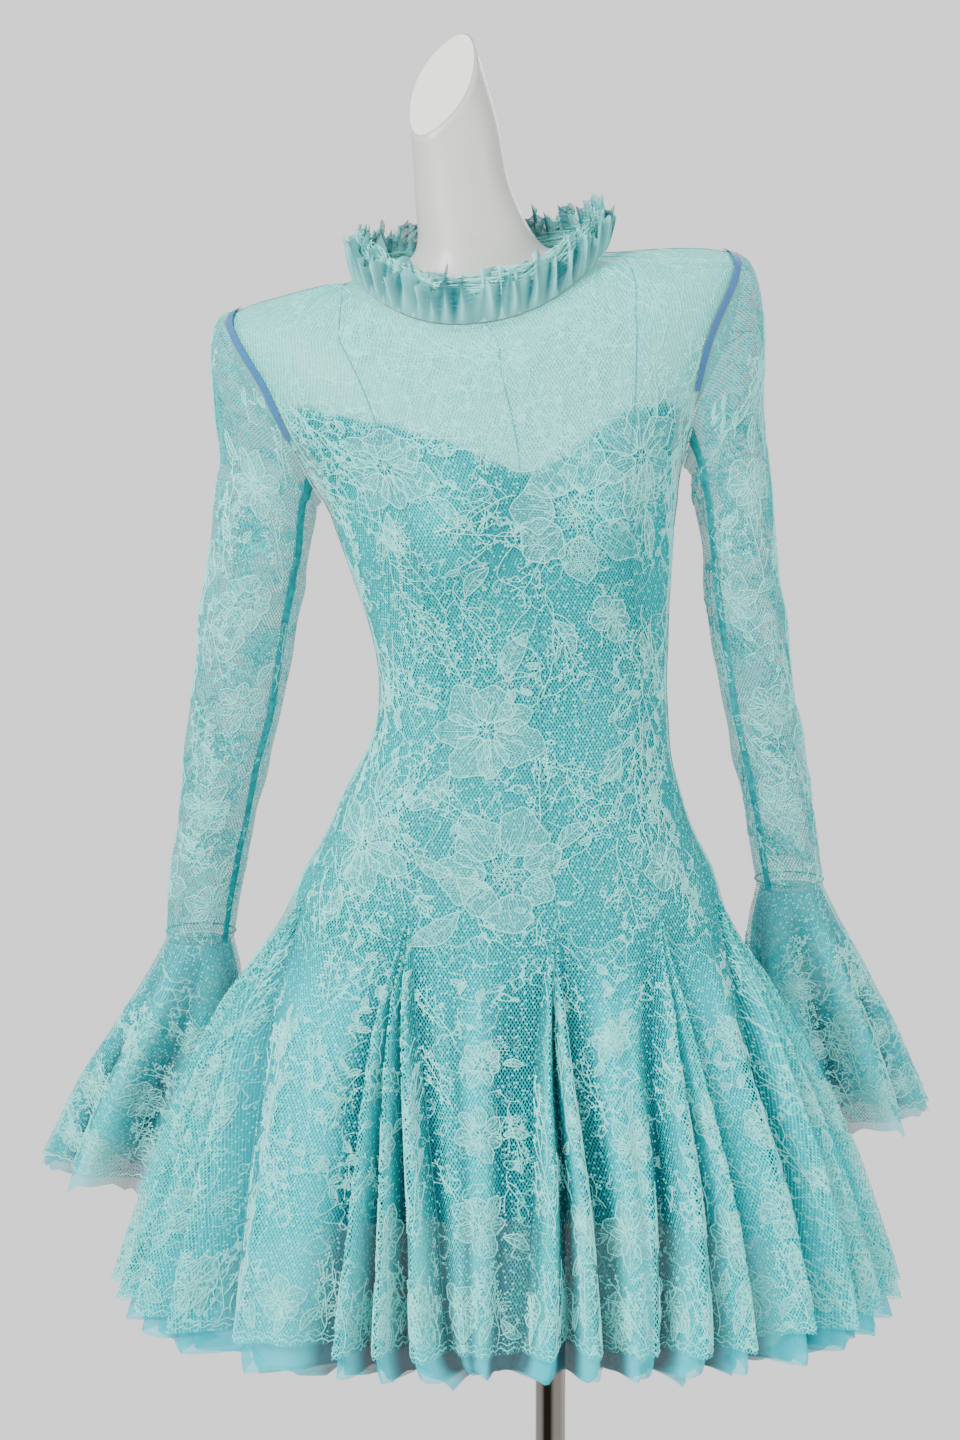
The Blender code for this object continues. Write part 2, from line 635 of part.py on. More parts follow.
def build_sleeve(name, side, hangs, group, lace):
    """A sleeve: its head starts at the armhole and falls over the shoulder end of the form."""
    turn = np.linspace(0, 360, SLEEVE_COLUMNS, endpoint=False)
    _, _, edge = armhole(side, turn, LACE + LAP_GAP)
    edge = edge + np.array([side * SLEEVE_START, 0.0, 0.0])
    first = hang_ring(hangs[0], side, SLEEVE_COLUMNS)
    rows = [edge]
    for step in range(1, SLEEVE_HEAD_ROWS):
        w = step / SLEEVE_HEAD_ROWS
        outer = np.clip(np.cos(np.radians(turn)) + HEAD_LAP, 0, None)[:, None]
        swell = outer * math.sin(math.pi * w ** HEAD_RISE) * HEAD_BULGE
        blend = edge * (1 - w) + first * w
        rows.append(blend + swell * np.array([side, 0.0, HEAD_UPWARD]))
    rows += [hang_ring(hang, side, SLEEVE_COLUMNS) for hang in hangs]
    rows = rows[::-1]
    cloth(name, rows, LACE, lace, closed=True, normals=ring_normals(rows), group=group)


def ring_normals(rows):
    """Normals of closed rings, turned to point away from their middles."""
    found = wall_normals(rows, True)
    return [
        normal if ((row - row.mean(0)) * normal).sum() > 0 else -normal
        for row, normal in zip(rows, found)
    ]


def cuff_rows(hangs, side, grow, stretch):
    """Rings of a bell cuff, with ridges that deepen to the hem."""
    turn = np.linspace(0, 2 * np.pi, CUFF_COLUMNS, endpoint=False)
    rows = []
    table = [tuple(hang) for hang in hangs]
    for step in np.linspace(1, 0, CUFF_ROWS + 1):
        hang = Hang(*smooth(table, step * (len(hangs) - 1)))
        middle = np.array([hang.x, hang.y, hang.z])
        ring = hang_ring(hang, side, CUFF_COLUMNS, grow)
        wave = np.cos(CUFF_RIDGES * turn) * CUFF_FOLD * step ** CUFF_FOLD_POWER
        outward = ring - middle
        outward /= np.linalg.norm(outward, axis=1)[:, None]
        rows.append(ring + outward * wave[:, None])
    if stretch > 1:
        first, second = rows[0], rows[1]
        rows[0] = first + (first - second) * (stretch - 1) * (CUFF_ROWS / 2)
    return rows


def build_cuff(name, side, hangs, group, lace, net):
    """A bell cuff and the net under it, which hangs lower."""
    layers = (("", 0.0, 1.0, lace), ("_under", -UNDER_INSET, UNDER_DROP, net))
    for part, grow, stretch, stuff in layers:
        rows = cuff_rows(hangs, side, grow, stretch)
        if part:
            rows = rows[:-2]
        cloth(name + part, rows, LACE, stuff, closed=True, normals=ring_normals(rows), group=group)


def build_collar(group, lace):
    """The ruffle: it stands on the neck seam and its waves open to the top."""
    turn = np.linspace(0, 360, RUFFLE_COLUMNS, endpoint=False)
    level = np.full(RUFFLE_COLUMNS, float(NECK_ROW))
    seat, normal, _, _ = body_frame(turn, level)
    seat = seat + normal * (YOKE_LIFT + LACE + RUFFLE_SEAT)
    inward = np.stack([-np.sin(np.radians(turn)), np.cos(np.radians(turn)), 0 * turn], -1)
    rows = []
    for step in (0.0, 0.5, 1.0):
        depth = RUFFLE_DEPTH * (RUFFLE_SEAT_WAVE + (1 - RUFFLE_SEAT_WAVE) * step)
        wave = np.cos(np.radians(turn) * RUFFLE_WAVES) * depth
        rise = np.array([0, 0, RUFFLE_HEIGHT * step])
        rows.append(seat + rise + inward * (RUFFLE_LEAN * step - wave)[:, None])
    cloth("collar_ruffle", rows, LACE, lace, closed=True, normals=ring_normals(rows), group=group)


def build_tape(name, side, group, blue):
    """A tape laid on the lace along the upper armhole, front to back over the shoulder."""
    reach = 180 * TAPE_SPAN
    turn = np.linspace(-reach, reach, TAPE_COLUMNS)
    angle, row, _ = armhole(side, turn, 0.0)
    ahead, back = armhole(side, turn + 3, 0.0)[2], armhole(side, turn - 3, 0.0)[2]
    _, normal, along, up = body_frame(angle, row)
    tangent = ahead - back
    inward = np.cross(normal, tangent)
    inward /= np.linalg.norm(inward, axis=1)[:, None]
    inward *= np.where((inward[:, 0] * side) > 0, -1, 1)[:, None]
    rows = []
    for width in (TAPE_START, TAPE_WIDTH):
        shifted_angle, shifted_row = angle.copy(), row.copy()
        for i in range(len(turn)):
            steps = np.stack([along[i], up[i]], -1)
            move = np.linalg.lstsq(steps, inward[i] * width, rcond=None)[0]
            shifted_angle[i] += move[0]
            shifted_row[i] += move[1]
        lift = lace_lift(shifted_angle, shifted_row) + LACE + LAP_GAP
        rows.append(body(shifted_angle, shifted_row, lift))
    _, top_normal, _, _ = body_frame(shifted_angle, shifted_row)
    cloth(name, rows, TAPE_THICK, blue, normals=[normal, top_normal], group=group)


def build_stand(group, chrome, steel):
    """The pole, and the round base with its softened edge."""
    foot_gap = FORM_FOOT - POLE_GAP
    bpy.ops.mesh.primitive_cylinder_add(
        vertices=32, radius=POLE_RADIUS, depth=foot_gap - BASE_HEIGHT,
        location=(0, 0, (foot_gap + BASE_HEIGHT) / 2),
    )
    pole = bpy.context.object
    pole.name = "pole"
    bpy.ops.mesh.primitive_cylinder_add(
        vertices=32, radius=BASE_RADIUS, depth=BASE_HEIGHT - POLE_GAP,
        location=(0, 0, (BASE_HEIGHT - POLE_GAP) / 2),
    )
    base = bpy.context.object
    base.name = "base"
    bevel = base.modifiers.new("edge", "BEVEL")
    bevel.width = BASE_BEVEL
    bevel.segments = 2
    bevel.limit_method = "ANGLE"
    for solid, stuff in ((pole, chrome), (base, steel)):
        solid.data.materials.append(stuff)
        solid.data.polygons.foreach_set(
            "use_smooth", [len(face.vertices) == 4 for face in solid.data.polygons]
        )
        for owner in list(solid.users_collection):
            owner.objects.unlink(solid)
        group.objects.link(solid)


def main():
    for solid in list(bpy.data.objects):
        bpy.data.objects.remove(solid)
    group = bpy.data.collections.new("lace_mini_dress_on_form")
    bpy.context.scene.collection.children.link(group)
    lace = material("lace", (0.16, 0.60, 0.62), 0.75)
    sheer = material("sheer_lace", (0.35, 0.62, 0.60), 0.75)
    silk = material("lining", (0.12, 0.45, 0.46), 0.55)
    net = material("net", (0.20, 0.62, 0.66), 0.80)
    blue = material("blue_tape", (0.05, 0.25, 0.62), 0.60)
    skin = material("form_white", (0.80, 0.78, 0.74), 0.35)
    chrome = material("chrome", (0.80, 0.80, 0.80), 0.12, 1.0)
    steel = material("steel", (0.62, 0.62, 0.63), 0.25, 1.0)

    build_stand(group, chrome, steel)
    build_form(group, skin)
    build_lining(group, silk)
    for gore in GORES:
        if gore.name.startswith("godet"):
            build_godet(gore, group, lace)
        else:
            build_panel(gore, group, lace)
    build_under_skirt(group, net)
    build_sleeve("sleeve_left", -1, SLEEVE_LEFT, group, sheer)
    build_sleeve("sleeve_right", 1, SLEEVE_RIGHT, group, sheer)
    build_cuff("cuff_left", -1, CUFF_LEFT, group, lace, net)
    build_cuff("cuff_right", 1, CUFF_RIGHT, group, lace, net)
    build_collar(group, lace)
    build_tape("tape_left", -1, group, blue)
    build_tape("tape_right", 1, group, blue)


main()
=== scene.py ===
"""Lace mini dress on a limbless dress form: cloth, corded lace, finishes, light and camera.
Metres, +Z up, the front faces -Y. Laid out as an add-on and run as a script."""

import math
from collections import namedtuple

import bpy
import numpy as np
from bpy.props import FloatProperty, FloatVectorProperty, PointerProperty
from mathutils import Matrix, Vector


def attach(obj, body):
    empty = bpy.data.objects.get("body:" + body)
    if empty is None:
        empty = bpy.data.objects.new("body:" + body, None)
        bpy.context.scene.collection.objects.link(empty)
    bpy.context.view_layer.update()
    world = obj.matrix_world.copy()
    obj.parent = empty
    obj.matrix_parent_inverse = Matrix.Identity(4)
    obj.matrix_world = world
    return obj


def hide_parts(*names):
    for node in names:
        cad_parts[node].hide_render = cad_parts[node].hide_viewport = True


bl_info = {
    "name": "Lace mini dress on a form",
    "version": (1, 0, 0),
    "blender": (4, 5, 0),
    "location": "View3D > Sidebar > Lace dress",
    "description": "Dresses the packed model in corded lace, net and lining",
    "category": "Object",
}

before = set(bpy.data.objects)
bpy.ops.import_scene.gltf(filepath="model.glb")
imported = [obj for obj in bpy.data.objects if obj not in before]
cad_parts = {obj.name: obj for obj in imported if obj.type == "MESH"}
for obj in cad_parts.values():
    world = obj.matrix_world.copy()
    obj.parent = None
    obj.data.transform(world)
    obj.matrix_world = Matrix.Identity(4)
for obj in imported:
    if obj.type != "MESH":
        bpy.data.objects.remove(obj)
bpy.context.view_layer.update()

# ------------------------------------------------------------
# Surfaces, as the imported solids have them
# ------------------------------------------------------------

LACE = 0.0010
LINING = 0.0010
FORM_INSET = 0.0019
SHOULDER_INSET = 0.0046
SHOULDER_SPREAD = 4.4
FORM_TO_LINING = 0.0004
LINING_TO_LACE = 0.0006
YOKE_LIFT = 0.0009
LAP_GAP = 0.0010
LACE_LIFT = FORM_TO_LINING + LINING + LINING_TO_LACE

SECTION_POWER = 2.3

BUST_RISE = 0.020
BUST_HEIGHT = 1.072
BUST_WIDTH = 0.040
BUST_TALL = 0.046
BUST_X = (-0.095, 0.045)

# Sections of the form, foot to neck cap: heights at the side, front and back, middle, half
# width, reach to the front and back, rise per metre of x and y, then the front seams' angles
Ring = namedtuple("Ring", "side front back x half fore aft roll pitch left mid right")
RINGS = [
    Ring(0.665, 0.665, 0.665, -0.0340, 0.1200, 0.085, 0.095, 0, 0, -24, 10, 41),
    Ring(0.672, 0.672, 0.672, -0.0345, 0.1500, 0.105, 0.122, 0, 0, -24, 10, 41),
    Ring(0.700, 0.700, 0.700, -0.0350, 0.1650, 0.116, 0.136, 0, 0, -24, 10, 41),
    Ring(0.735, 0.735, 0.735, -0.0350, 0.1700, 0.118, 0.140, 0, 0, -24, 10, 41),
    Ring(0.775, 0.775, 0.775, -0.0352, 0.1683, 0.116, 0.136, 0, 0, -24, 10, 41),
    Ring(0.822, 0.822, 0.822, -0.0327, 0.1450, 0.110, 0.122, 0, 0, -25, 9, 44),
    Ring(0.855, 0.855, 0.855, -0.0322, 0.1322, 0.104, 0.106, 0.01, 0, -27, 8, 48),
    Ring(0.885, 0.885, 0.885, -0.0275, 0.1205, 0.098, 0.096, 0.01, 0, -29, 6, 51),
    Ring(0.914, 0.914, 0.914, -0.0240, 0.1144, 0.093, 0.090, 0.02, 0, -30, 5, 52),
    Ring(0.944, 0.944, 0.944, -0.0238, 0.1126, 0.092, 0.088, 0.02, 0, -31, 4, 52),
    Ring(0.970, 0.970, 0.970, -0.0244, 0.1142, 0.094, 0.089, 0.03, 0, -31, 4, 50),
    Ring(1.000, 1.000, 1.000, -0.0275, 0.1178, 0.098, 0.091, 0.04, 0, -31, 5, 47),
    Ring(1.035, 1.035, 1.035, -0.0320, 0.1246, 0.104, 0.094, 0.06, 0, -31, 5, 44),
    Ring(1.057, 1.057, 1.057, -0.0350, 0.1288, 0.107, 0.096, 0.07, 0, -31, 5, 42),
    Ring(1.079, 1.079, 1.079, -0.0372, 0.1339, 0.108, 0.098, 0.08, 0, -30, 5, 41),
    Ring(1.103, 1.102, 1.103, -0.0400, 0.1400, 0.108, 0.100, 0.10, 0, -29, 4, 39),
    Ring(1.138, 1.133, 1.136, -0.0450, 0.1600, 0.106, 0.101, 0.11, 0, -28, 4, 37),
    Ring(1.178, 1.163, 1.175, -0.0495, 0.1880, 0.101, 0.099, 0.12, 0, -25, 3, 33),
    Ring(1.214, 1.188, 1.210, -0.0525, 0.2045, 0.095, 0.093, 0.12, 0, -25, 2, 31),
    Ring(1.243, 1.205, 1.236, -0.0540, 0.2080, 0.089, 0.085, 0.12, 0, -27, 2, 31),
    Ring(1.2595, 1.215, 1.253, -0.0560, 0.1960, 0.084, 0.074, 0.12, 0, -31, 2, 34),
    Ring(1.2675, 1.2205, 1.262, -0.0575, 0.1550, 0.081, 0.064, 0.12, 0, -42, 2, 48),
    Ring(1.2705, 1.2245, 1.268, -0.0580, 0.1220, 0.079, 0.056, 0.11, 0, -60, 2, 68),
    Ring(1.2720, 1.2275, 1.273, -0.0584, 0.0990, 0.077, 0.050, 0.11, 0, -90, 2, 90),
    Ring(1.2800, 1.2450, 1.284, -0.0590, 0.0700, 0.060, 0.044, 0.10, 0, -90, 2, 90),
    Ring(1.2930, 1.2720, 1.297, -0.0610, 0.0500, 0.046, 0.041, 0.08, 0, -90, 2, 90),
    Ring(1.3330, 1.3250, 1.335, -0.0720, 0.0397, 0.038, 0.042, 0.15, 0.1, -90, 2, 90),
    Ring(1.3740, 1.3740, 1.374, -0.0780, 0.0350, 0.035, 0.040, 0.45, 0.5, -90, 2, 90),
    Ring(1.4150, 1.4150, 1.415, -0.0874, 0.0280, 0.033, 0.034, 0.84, 1.0, -90, 2, 90),
]
HIP = 4
UNDERARM = 15
TIP = 20
NECK = 23
ARMHOLE_CUT = 32.0
BACK_SEAMS = (128.0, 178.0, 232.0)
SIDE_TURN = (20.0, -14.0)

# Height of the lining's sweetheart edge round the bust, as angle and height
SWEETHEART = (
    (-180, 1.112), (-120, 1.112), (-90, 1.118), (-70, 1.158), (-45, 1.163), (-22, 1.150),
    (-8, 1.136), (5, 1.112), (18, 1.130), (32, 1.160), (48, 1.168), (75, 1.150), (90, 1.135),
    (120, 1.118), (180, 1.112),
)
LINING_FOOT = 2.0
LINING_TOP_CLOSE = 0.0025
LINING_CLOSE_FROM = 13.5
UNDERARM_DROP = 0.85

# Skirt rings below the hip: height, middle, half width, reach to the front and back
Flare = namedtuple("Flare", "z x half fore aft")
FLARES = [
    Flare(0.7400, -0.0385, 0.1850, 0.134, 0.149),
    Flare(0.7000, -0.0405, 0.2080, 0.156, 0.158),
    Flare(0.6490, -0.0400, 0.2310, 0.182, 0.174),
    Flare(0.5580, -0.0360, 0.2660, 0.214, 0.202),
    Flare(0.4550, -0.0360, 0.2980, 0.240, 0.234),
    Flare(0.4370, -0.0360, 0.3030, 0.244, 0.238),
]
LACE_HEM = 5.0
FOLD_POWER = 1.6
SPREAD_POWER = 0.85

# Pieces of the skirt: name, hip angles, hem angles, ridges and their reach at the hem
Gore = namedtuple("Gore", "name hip_left hip_right hem_left hem_right ridges reach")
GORES = [
    Gore("side_front_left", -70, -24, -47, -24, 1, 0.016),
    Gore("godet_front_left", -24, -24, -24, -7, 3, 0.015),
    Gore("centre_front_left", -24, 10, -7, 1, 1, -0.010),
    Gore("godet_centre_front", 10, 10, 1, 12, 2, 0.016),
    Gore("centre_front_right", 10, 41, 12, 21, 1, 0.008),
    Gore("godet_front_right", 41, 41, 21, 36, 2, 0.017),
    Gore("side_front_right", 41, 76, 36, 50, 1, 0.017),
    Gore("godet_side_right", 76, 76, 50, 92, 4, 0.016),
    Gore("side_back_right", 76, 128, 92, 118, 1, 0.014),
    Gore("godet_back_right", 128, 128, 118, 145, 3, 0.014),
    Gore("centre_back_right", 128, 178, 145, 167, 1, 0.014),
    Gore("godet_centre_back", 178, 178, 167, 193, 3, 0.014),
    Gore("centre_back_left", 178, 232, 193, 217, 1, 0.014),
    Gore("godet_back_left", 232, 232, 217, 245, 3, 0.014),
    Gore("side_back_left", 232, 290, 245, 268, 1, 0.014),
    Gore("godet_side_left", 290, 290, 268, 313, 4, 0.017),
]
VALLEY = -0.015

# Sleeves: middle, half across, half fore and aft, tilt of the ring, as it hangs
Hang = namedtuple("Hang", "z x y across fore tilt")
SLEEVE_LEFT = [
    Hang(1.105, -0.2270, 0.000, 0.0430, 0.052, 30),
    Hang(1.050, -0.2345, 0.004, 0.0400, 0.047, 10),
    Hang(1.009, -0.2415, 0.010, 0.0392, 0.044, 3),
    Hang(0.944, -0.2520, 0.026, 0.0385, 0.041, 0),
    Hang(0.879, -0.2647, 0.046, 0.0345, 0.038, 0),
    Hang(0.830, -0.2736, 0.060, 0.0320, 0.036, 0),
    Hang(0.781, -0.2839, 0.074, 0.0303, 0.034, 0),
    Hang(0.7175, -0.2925, 0.088, 0.0278, 0.032, 0),
]
SLEEVE_RIGHT = [
    Hang(1.125, 0.1395, 0.000, 0.0330, 0.052, -30),
    Hang(1.075, 0.1465, 0.004, 0.0300, 0.048, -10),
    Hang(1.009, 0.1544, 0.010, 0.0300, 0.045, -3),
    Hang(0.944, 0.1652, 0.026, 0.0300, 0.042, 0),
    Hang(0.879, 0.1787, 0.046, 0.0290, 0.039, 0),
    Hang(0.830, 0.1890, 0.060, 0.0280, 0.037, 0),
    Hang(0.763, 0.2006, 0.082, 0.0272, 0.034, 0),
]
CUFF_LEFT = [
    Hang(0.7170, -0.2925, 0.088, 0.0284, 0.0326, 0),
    Hang(0.6850, -0.2985, 0.100, 0.0380, 0.0400, 0),
    Hang(0.6350, -0.3130, 0.127, 0.0510, 0.0480, 2),
    Hang(0.5750, -0.3350, 0.163, 0.0620, 0.0540, 4),
    Hang(0.4950, -0.3620, 0.207, 0.0700, 0.0600, 6),
]
CUFF_RIGHT = [
    Hang(0.7625, 0.2006, 0.082, 0.0278, 0.0346, 0),
    Hang(0.7300, 0.2060, 0.095, 0.0370, 0.0400, 0),
    Hang(0.6800, 0.2190, 0.120, 0.0480, 0.0470, -2),
    Hang(0.6200, 0.2370, 0.155, 0.0570, 0.0520, -4),
    Hang(0.5450, 0.2600, 0.198, 0.0640, 0.0570, -6),
]
SLEEVE_START = 0.0008
HEAD_BULGE = 0.010
HEAD_RISE = 0.6
CUFF_RIDGES = 6
CUFF_FOLD = 0.008
UNDER_INSET = 0.003

RUFFLE_HEIGHT = 0.036
RUFFLE_LEAN = 0.004
RUFFLE_SEAT = 0.0010

TAPE_WIDTH = 0.0065
TAPE_THICK = 0.0010
TAPE_SPAN = 0.62

# Camera at the photograph's angle, the floor, the room and its lamps
PHOTO_HEIGHT = 1440
CAMERA_PIXELS = 3375
CAMERA_PITCH = 6.6
CAMERA_PLACE = (-0.058, -2.7, 1.224)
FLOOR_RADIUS = 0.85
ROOM_COLOUR = (0.82, 0.83, 0.82)
ROOM_STRENGTH = 1.0
ROOM_SEEN = 1.55
LAMPS = (
    ("window", (-1.9, -2.2, 2.6), (0.0, 0.0, 0.95), 1.3, 158.0),
    ("fill", (2.2, -1.6, 1.5), (0.0, 0.0, 0.85), 1.8, 42.0),
    ("rear", (0.6, 2.4, 2.2), (0.0, 0.0, 0.9), 1.4, 26.0),
)

# Form's shell: its columns, and the raised rim and face of the neck cap
FORM_COLUMNS = 112
CAP_RIM = 0.965
CAP_RISE = 0.0015

# How lace pales over the bare form: height it blends over, and its least alpha there
YOKE_BLEND = 0.006
YOKE_COVER = 0.22

# Flat woven figure: noise scales, outlines and veins in a noise, threads, dots, strength
OUTLINE_SCALE = 30.0
VEIN_SCALE = 85.0
OUTLINES = 7.0
VEINS = 5.0
FIGURE_THREAD = 0.055
DOT_SCALE = 190.0
DOT_SIZE = 0.17
FIGURE_SHARE = 0.62
FIGURE_COVER = 0.70

# Net: lean of its threads, hole pitch and thread width, least alpha of each use, height where
# a faded net ends
NET_LEAN = 0.577
TULLE_PITCH = 0.0015
TULLE_THREAD = 0.0004
FRILL_PITCH = 0.0020
FRILL_THREAD = 0.0006
SHEER_COVER = 0.17
OUTER_COVER = 0.35
INNER_COVER = 0.66
FRILL_COVER = 0.50
FADE_TOP = 0.748
FADE_SPEED = 22.0

# Net layers under the skirt: fold swing, inset, hem ring, raggedness and seed
NetLayer = namedtuple("NetLayer", "swing inset hem ragged seed")
NET_LAYERS = (
    NetLayer(0.82, 0.0035, 5.6, 0.16, 11),
    NetLayer(0.60, 0.0075, 5.9, 0.20, 12),
)

# Painted shade that darkens cloth in its folds: columns averaged on each side, and depth from dark
# to light
CREASE_COLUMNS = 9
CREASE_DEPTH = 0.010

# How the scene's folds go beyond the solids' own: hem, depth, sharpness, head, cuffs, gathers
HEM_LIFT = 0.024
FOLD_EXTRA = 0.007
FOLD_SHARPNESS = 0.80
FOLD_HEAD = 0.6
CUFF_DEEPER = 1.25
GODET_CRINKLE = 0.0035
PANEL_CRINKLE = 0.0060

# Fineness of the cloth meshes
SEAM_COLUMNS = 14
FOLD_COLUMNS = 20
SKIRT_ROWS = 42
ROWS_A_RING = 4
SLEEVE_COLUMNS = 72
CUFF_COLUMNS = 168
CUFF_ROWS = 34
SLEEVE_ROWS = 64
HEAD_ROWS = 16
LINING_COLUMNS = 97
LINING_ROWS = 64
FRONT_COLUMNS = 161
COLLAR_COLUMNS = 840
COLLAR_ROWS = 12
TAPE_COLUMNS = 90

# Keeps the length of a zero vector from being divided by
TINY = 1e-12

# Sewn work: height of cords and knots for their radius, seam cords, hem edge and its scallops
CORD_TALL = 1.6
KNOT_TALL = 1.4
SEAM_CORD = 0.00045
SLEEVE_SEAM_CORD = 0.0006
WRIST_CORD = 0.0007
SEAM_LIFT = 0.0001
EDGE_STEP = 0.0022
SCALLOP_LOW = 0.0022
SCALLOP_TALL = 0.0030
SCALLOP_WIDE = 0.011
HEM_LINES_APART = 0.0042


def unit(vectors, least=0.0):
    """Vectors of length 1; least keeps a zero vector from dividing by nothing."""
    return vectors / (np.linalg.norm(vectors, axis=-1, keepdims=True) + least)


def curve_between(low, high, low_slope, high_slope, t):
    """A value on the curve from low to high that leaves and arrives with their slopes."""
    h = t * t * (3 - 2 * t)
    return low * (1 - h) + high * h + low_slope * t * (1 - t) ** 2 - high_slope * t * t * (1 - t)


def smooth(rows, at):
    """Columns of a table at any fractional row, on a curve through the rows."""
    rows = np.asarray(rows, float)
    at = np.clip(np.asarray(at, float), 0, len(rows) - 1)
    low = np.minimum(at.astype(int), len(rows) - 2)
    slope = np.gradient(rows, axis=0)
    t = (at - low)[..., None]
    return curve_between(rows[low], rows[low + 1], slope[low], slope[low + 1], t)


def ease(t):
    t = np.clip(t, 0, 1)
    return t * t * (3 - 2 * t)


def section(angle, half, fore, aft):
    """A point of a squarish ring: 0 degrees is the front, 90 the right side."""
    turn = np.radians(angle)
    s, c = np.sin(turn), np.cos(turn)
    power = 2 / SECTION_POWER
    x = half * np.sign(s) * np.abs(s) ** power
    y = -np.where(c > 0, fore, aft) * np.sign(c) * np.abs(c) ** power
    return x, y


def body_point(angle, row):
    """A point on the skin of the form."""
    angle, row = np.broadcast_arrays(np.asarray(angle, float), np.asarray(row, float))
    side, front, back, mid, half, fore, aft, roll, pitch = np.moveaxis(
        smooth([ring[:9] for ring in RINGS], row), -1, 0
    )
    x, y = section(angle, half, fore, aft)
    c = np.cos(np.radians(angle))
    z = side + np.where(c > 0, front - side, back - side) * c * c
    for bust in BUST_X:
        swell = ((mid + x - bust) / BUST_WIDTH) ** 2 + ((z - BUST_HEIGHT) / BUST_TALL) ** 2
        y = y - BUST_RISE * np.exp(-swell) * (c > 0) * np.minimum(1, 4 * np.abs(c))
    return np.stack([mid + x, y, z + roll * x + pitch * y], -1)


def body_frame(angle, row):
    """Skin point, its outward normal and the steps along the angle and the row."""
    da, dr = 0.8, 0.05
    along = (body_point(angle + da, row) - body_point(angle - da, row)) / (2 * da)
    up = (body_point(angle, row + dr) - body_point(angle, row - dr)) / (2 * dr)
    return body_point(angle, row), unit(np.cross(along, up)), along, up


def body(angle, row, out):
    """A point held off the skin by a distance."""
    angle, row = np.broadcast_arrays(np.asarray(angle, float), np.asarray(row, float))
    point, normal, _, _ = body_frame(angle, row)
    return point + normal * np.asarray(out, float)[..., None]


def armhole_angle(row):
    """Half angle that the front or the back covers at a row."""
    w = np.clip((np.asarray(row, float) - UNDERARM) / (TIP - UNDERARM), 0, 1)
    return 90.0 - ARMHOLE_CUT * np.sin(np.pi * w) ** 0.8


def seam_angle(column, row):
    return smooth([ring[9 + column:10 + column] for ring in RINGS], row)[..., 0]


def side_angle(side, row):
    """The side seam: it turns with the hips and runs up to the underarm."""
    w = np.clip((row - HIP) / (UNDERARM - HIP), 0, 1)
    return 90 * side + SIDE_TURN[0 if side < 0 else 1] * (1 - w) ** 1.4


def edge_angles(name, row):
    """Left and right angles of a bodice panel at a row."""
    row = np.asarray(row, float)
    reach = armhole_angle(row)
    left, mid, right = (seam_angle(i, row) for i in range(3))
    low = row <= UNDERARM
    front_left = np.where(low, side_angle(-1, row), -reach)
    front_right = np.where(low, side_angle(1, row), reach)
    back_right = np.where(low, side_angle(1, row), 180 - reach)
    back_left = np.where(low, 360 + side_angle(-1, row), 180 + reach)
    seams = [np.full(row.shape, angle) for angle in BACK_SEAMS]
    return {
        "side_front_left": (front_left, left),
        "centre_front_left": (left, mid),
        "centre_front_right": (mid, right),
        "side_front_right": (right, front_right),
        "side_back_right": (back_right, seams[0]),
        "centre_back_right": (seams[0], seams[1]),
        "centre_back_left": (seams[1], seams[2]),
        "side_back_left": (seams[2], back_left),
        "front": (front_left, front_right),
        "back": (back_right, back_left),
    }[name]


def sweetheart(angle):
    """Height of the lining's top edge."""
    angle = (np.asarray(angle, float) + 180) % 360 - 180
    angles, heights = zip(*SWEETHEART)
    return np.interp(angle, angles, heights)


def lace_lift(angle, row):
    """The lace stands off the form by the lining under it, and comes close above the lining."""
    height = body_point(angle, row)[..., 2]
    over = ease((height - sweetheart(angle) - 0.002) / 0.025)
    return LACE_LIFT * (1 - over) + YOKE_LIFT * over


def row_of_height(angle, height):
    """The table row at which the skin reaches a height, by halving."""
    low = np.full(angle.shape, 0.0)
    high = np.full(angle.shape, float(NECK))
    for _ in range(24):
        middle = (low + high) / 2
        over = body_point(angle, middle)[..., 2] > height
        high = np.where(over, middle, high)
        low = np.where(over, low, middle)
    return (low + high) / 2


def underarm_row(angle):
    """The row at which a line up the body meets the lower edge of an armhole."""
    from_front = np.abs((np.asarray(angle, float) + 180) % 360 - 180)
    from_middle = np.minimum(from_front, 180 - from_front)
    bite = np.clip((90 - from_middle) / ARMHOLE_CUT, 0, 1) ** 1.25
    return np.where(
        from_middle < 90 - ARMHOLE_CUT, NECK,
        UNDERARM + (TIP - UNDERARM) * np.arcsin(bite) / np.pi,
    )


def skirt_point(angle, drop, offset):
    """A point on the skirt: drop 0 is the hip line, whole numbers are the flare rings."""
    angle, drop = np.broadcast_arrays(np.asarray(angle, float), np.asarray(drop, float))
    rings = [body(angle, float(HIP), LACE_LIFT)]
    for flare in FLARES:
        x, y = section(angle, flare.half, flare.fore, flare.aft)
        rings.append(np.stack([flare.x + x, y, np.full(x.shape, flare.z)], -1))
    rings = np.stack(rings, -2)
    low = np.clip(drop.astype(int), 0, len(FLARES) - 1)
    slope = np.gradient(rings, axis=-2)

    def pick(values, at):
        return np.take_along_axis(values, at[..., None, None], -2)[..., 0, :]

    t = (drop - low)[..., None]
    point = curve_between(
        pick(rings, low), pick(rings, low + 1), pick(slope, low), pick(slope, low + 1), t
    )
    turn = np.radians(angle)
    outward = np.stack([np.sin(turn), -np.cos(turn), np.zeros(turn.shape)], -1)
    return point + outward * np.asarray(offset, float)[..., None]


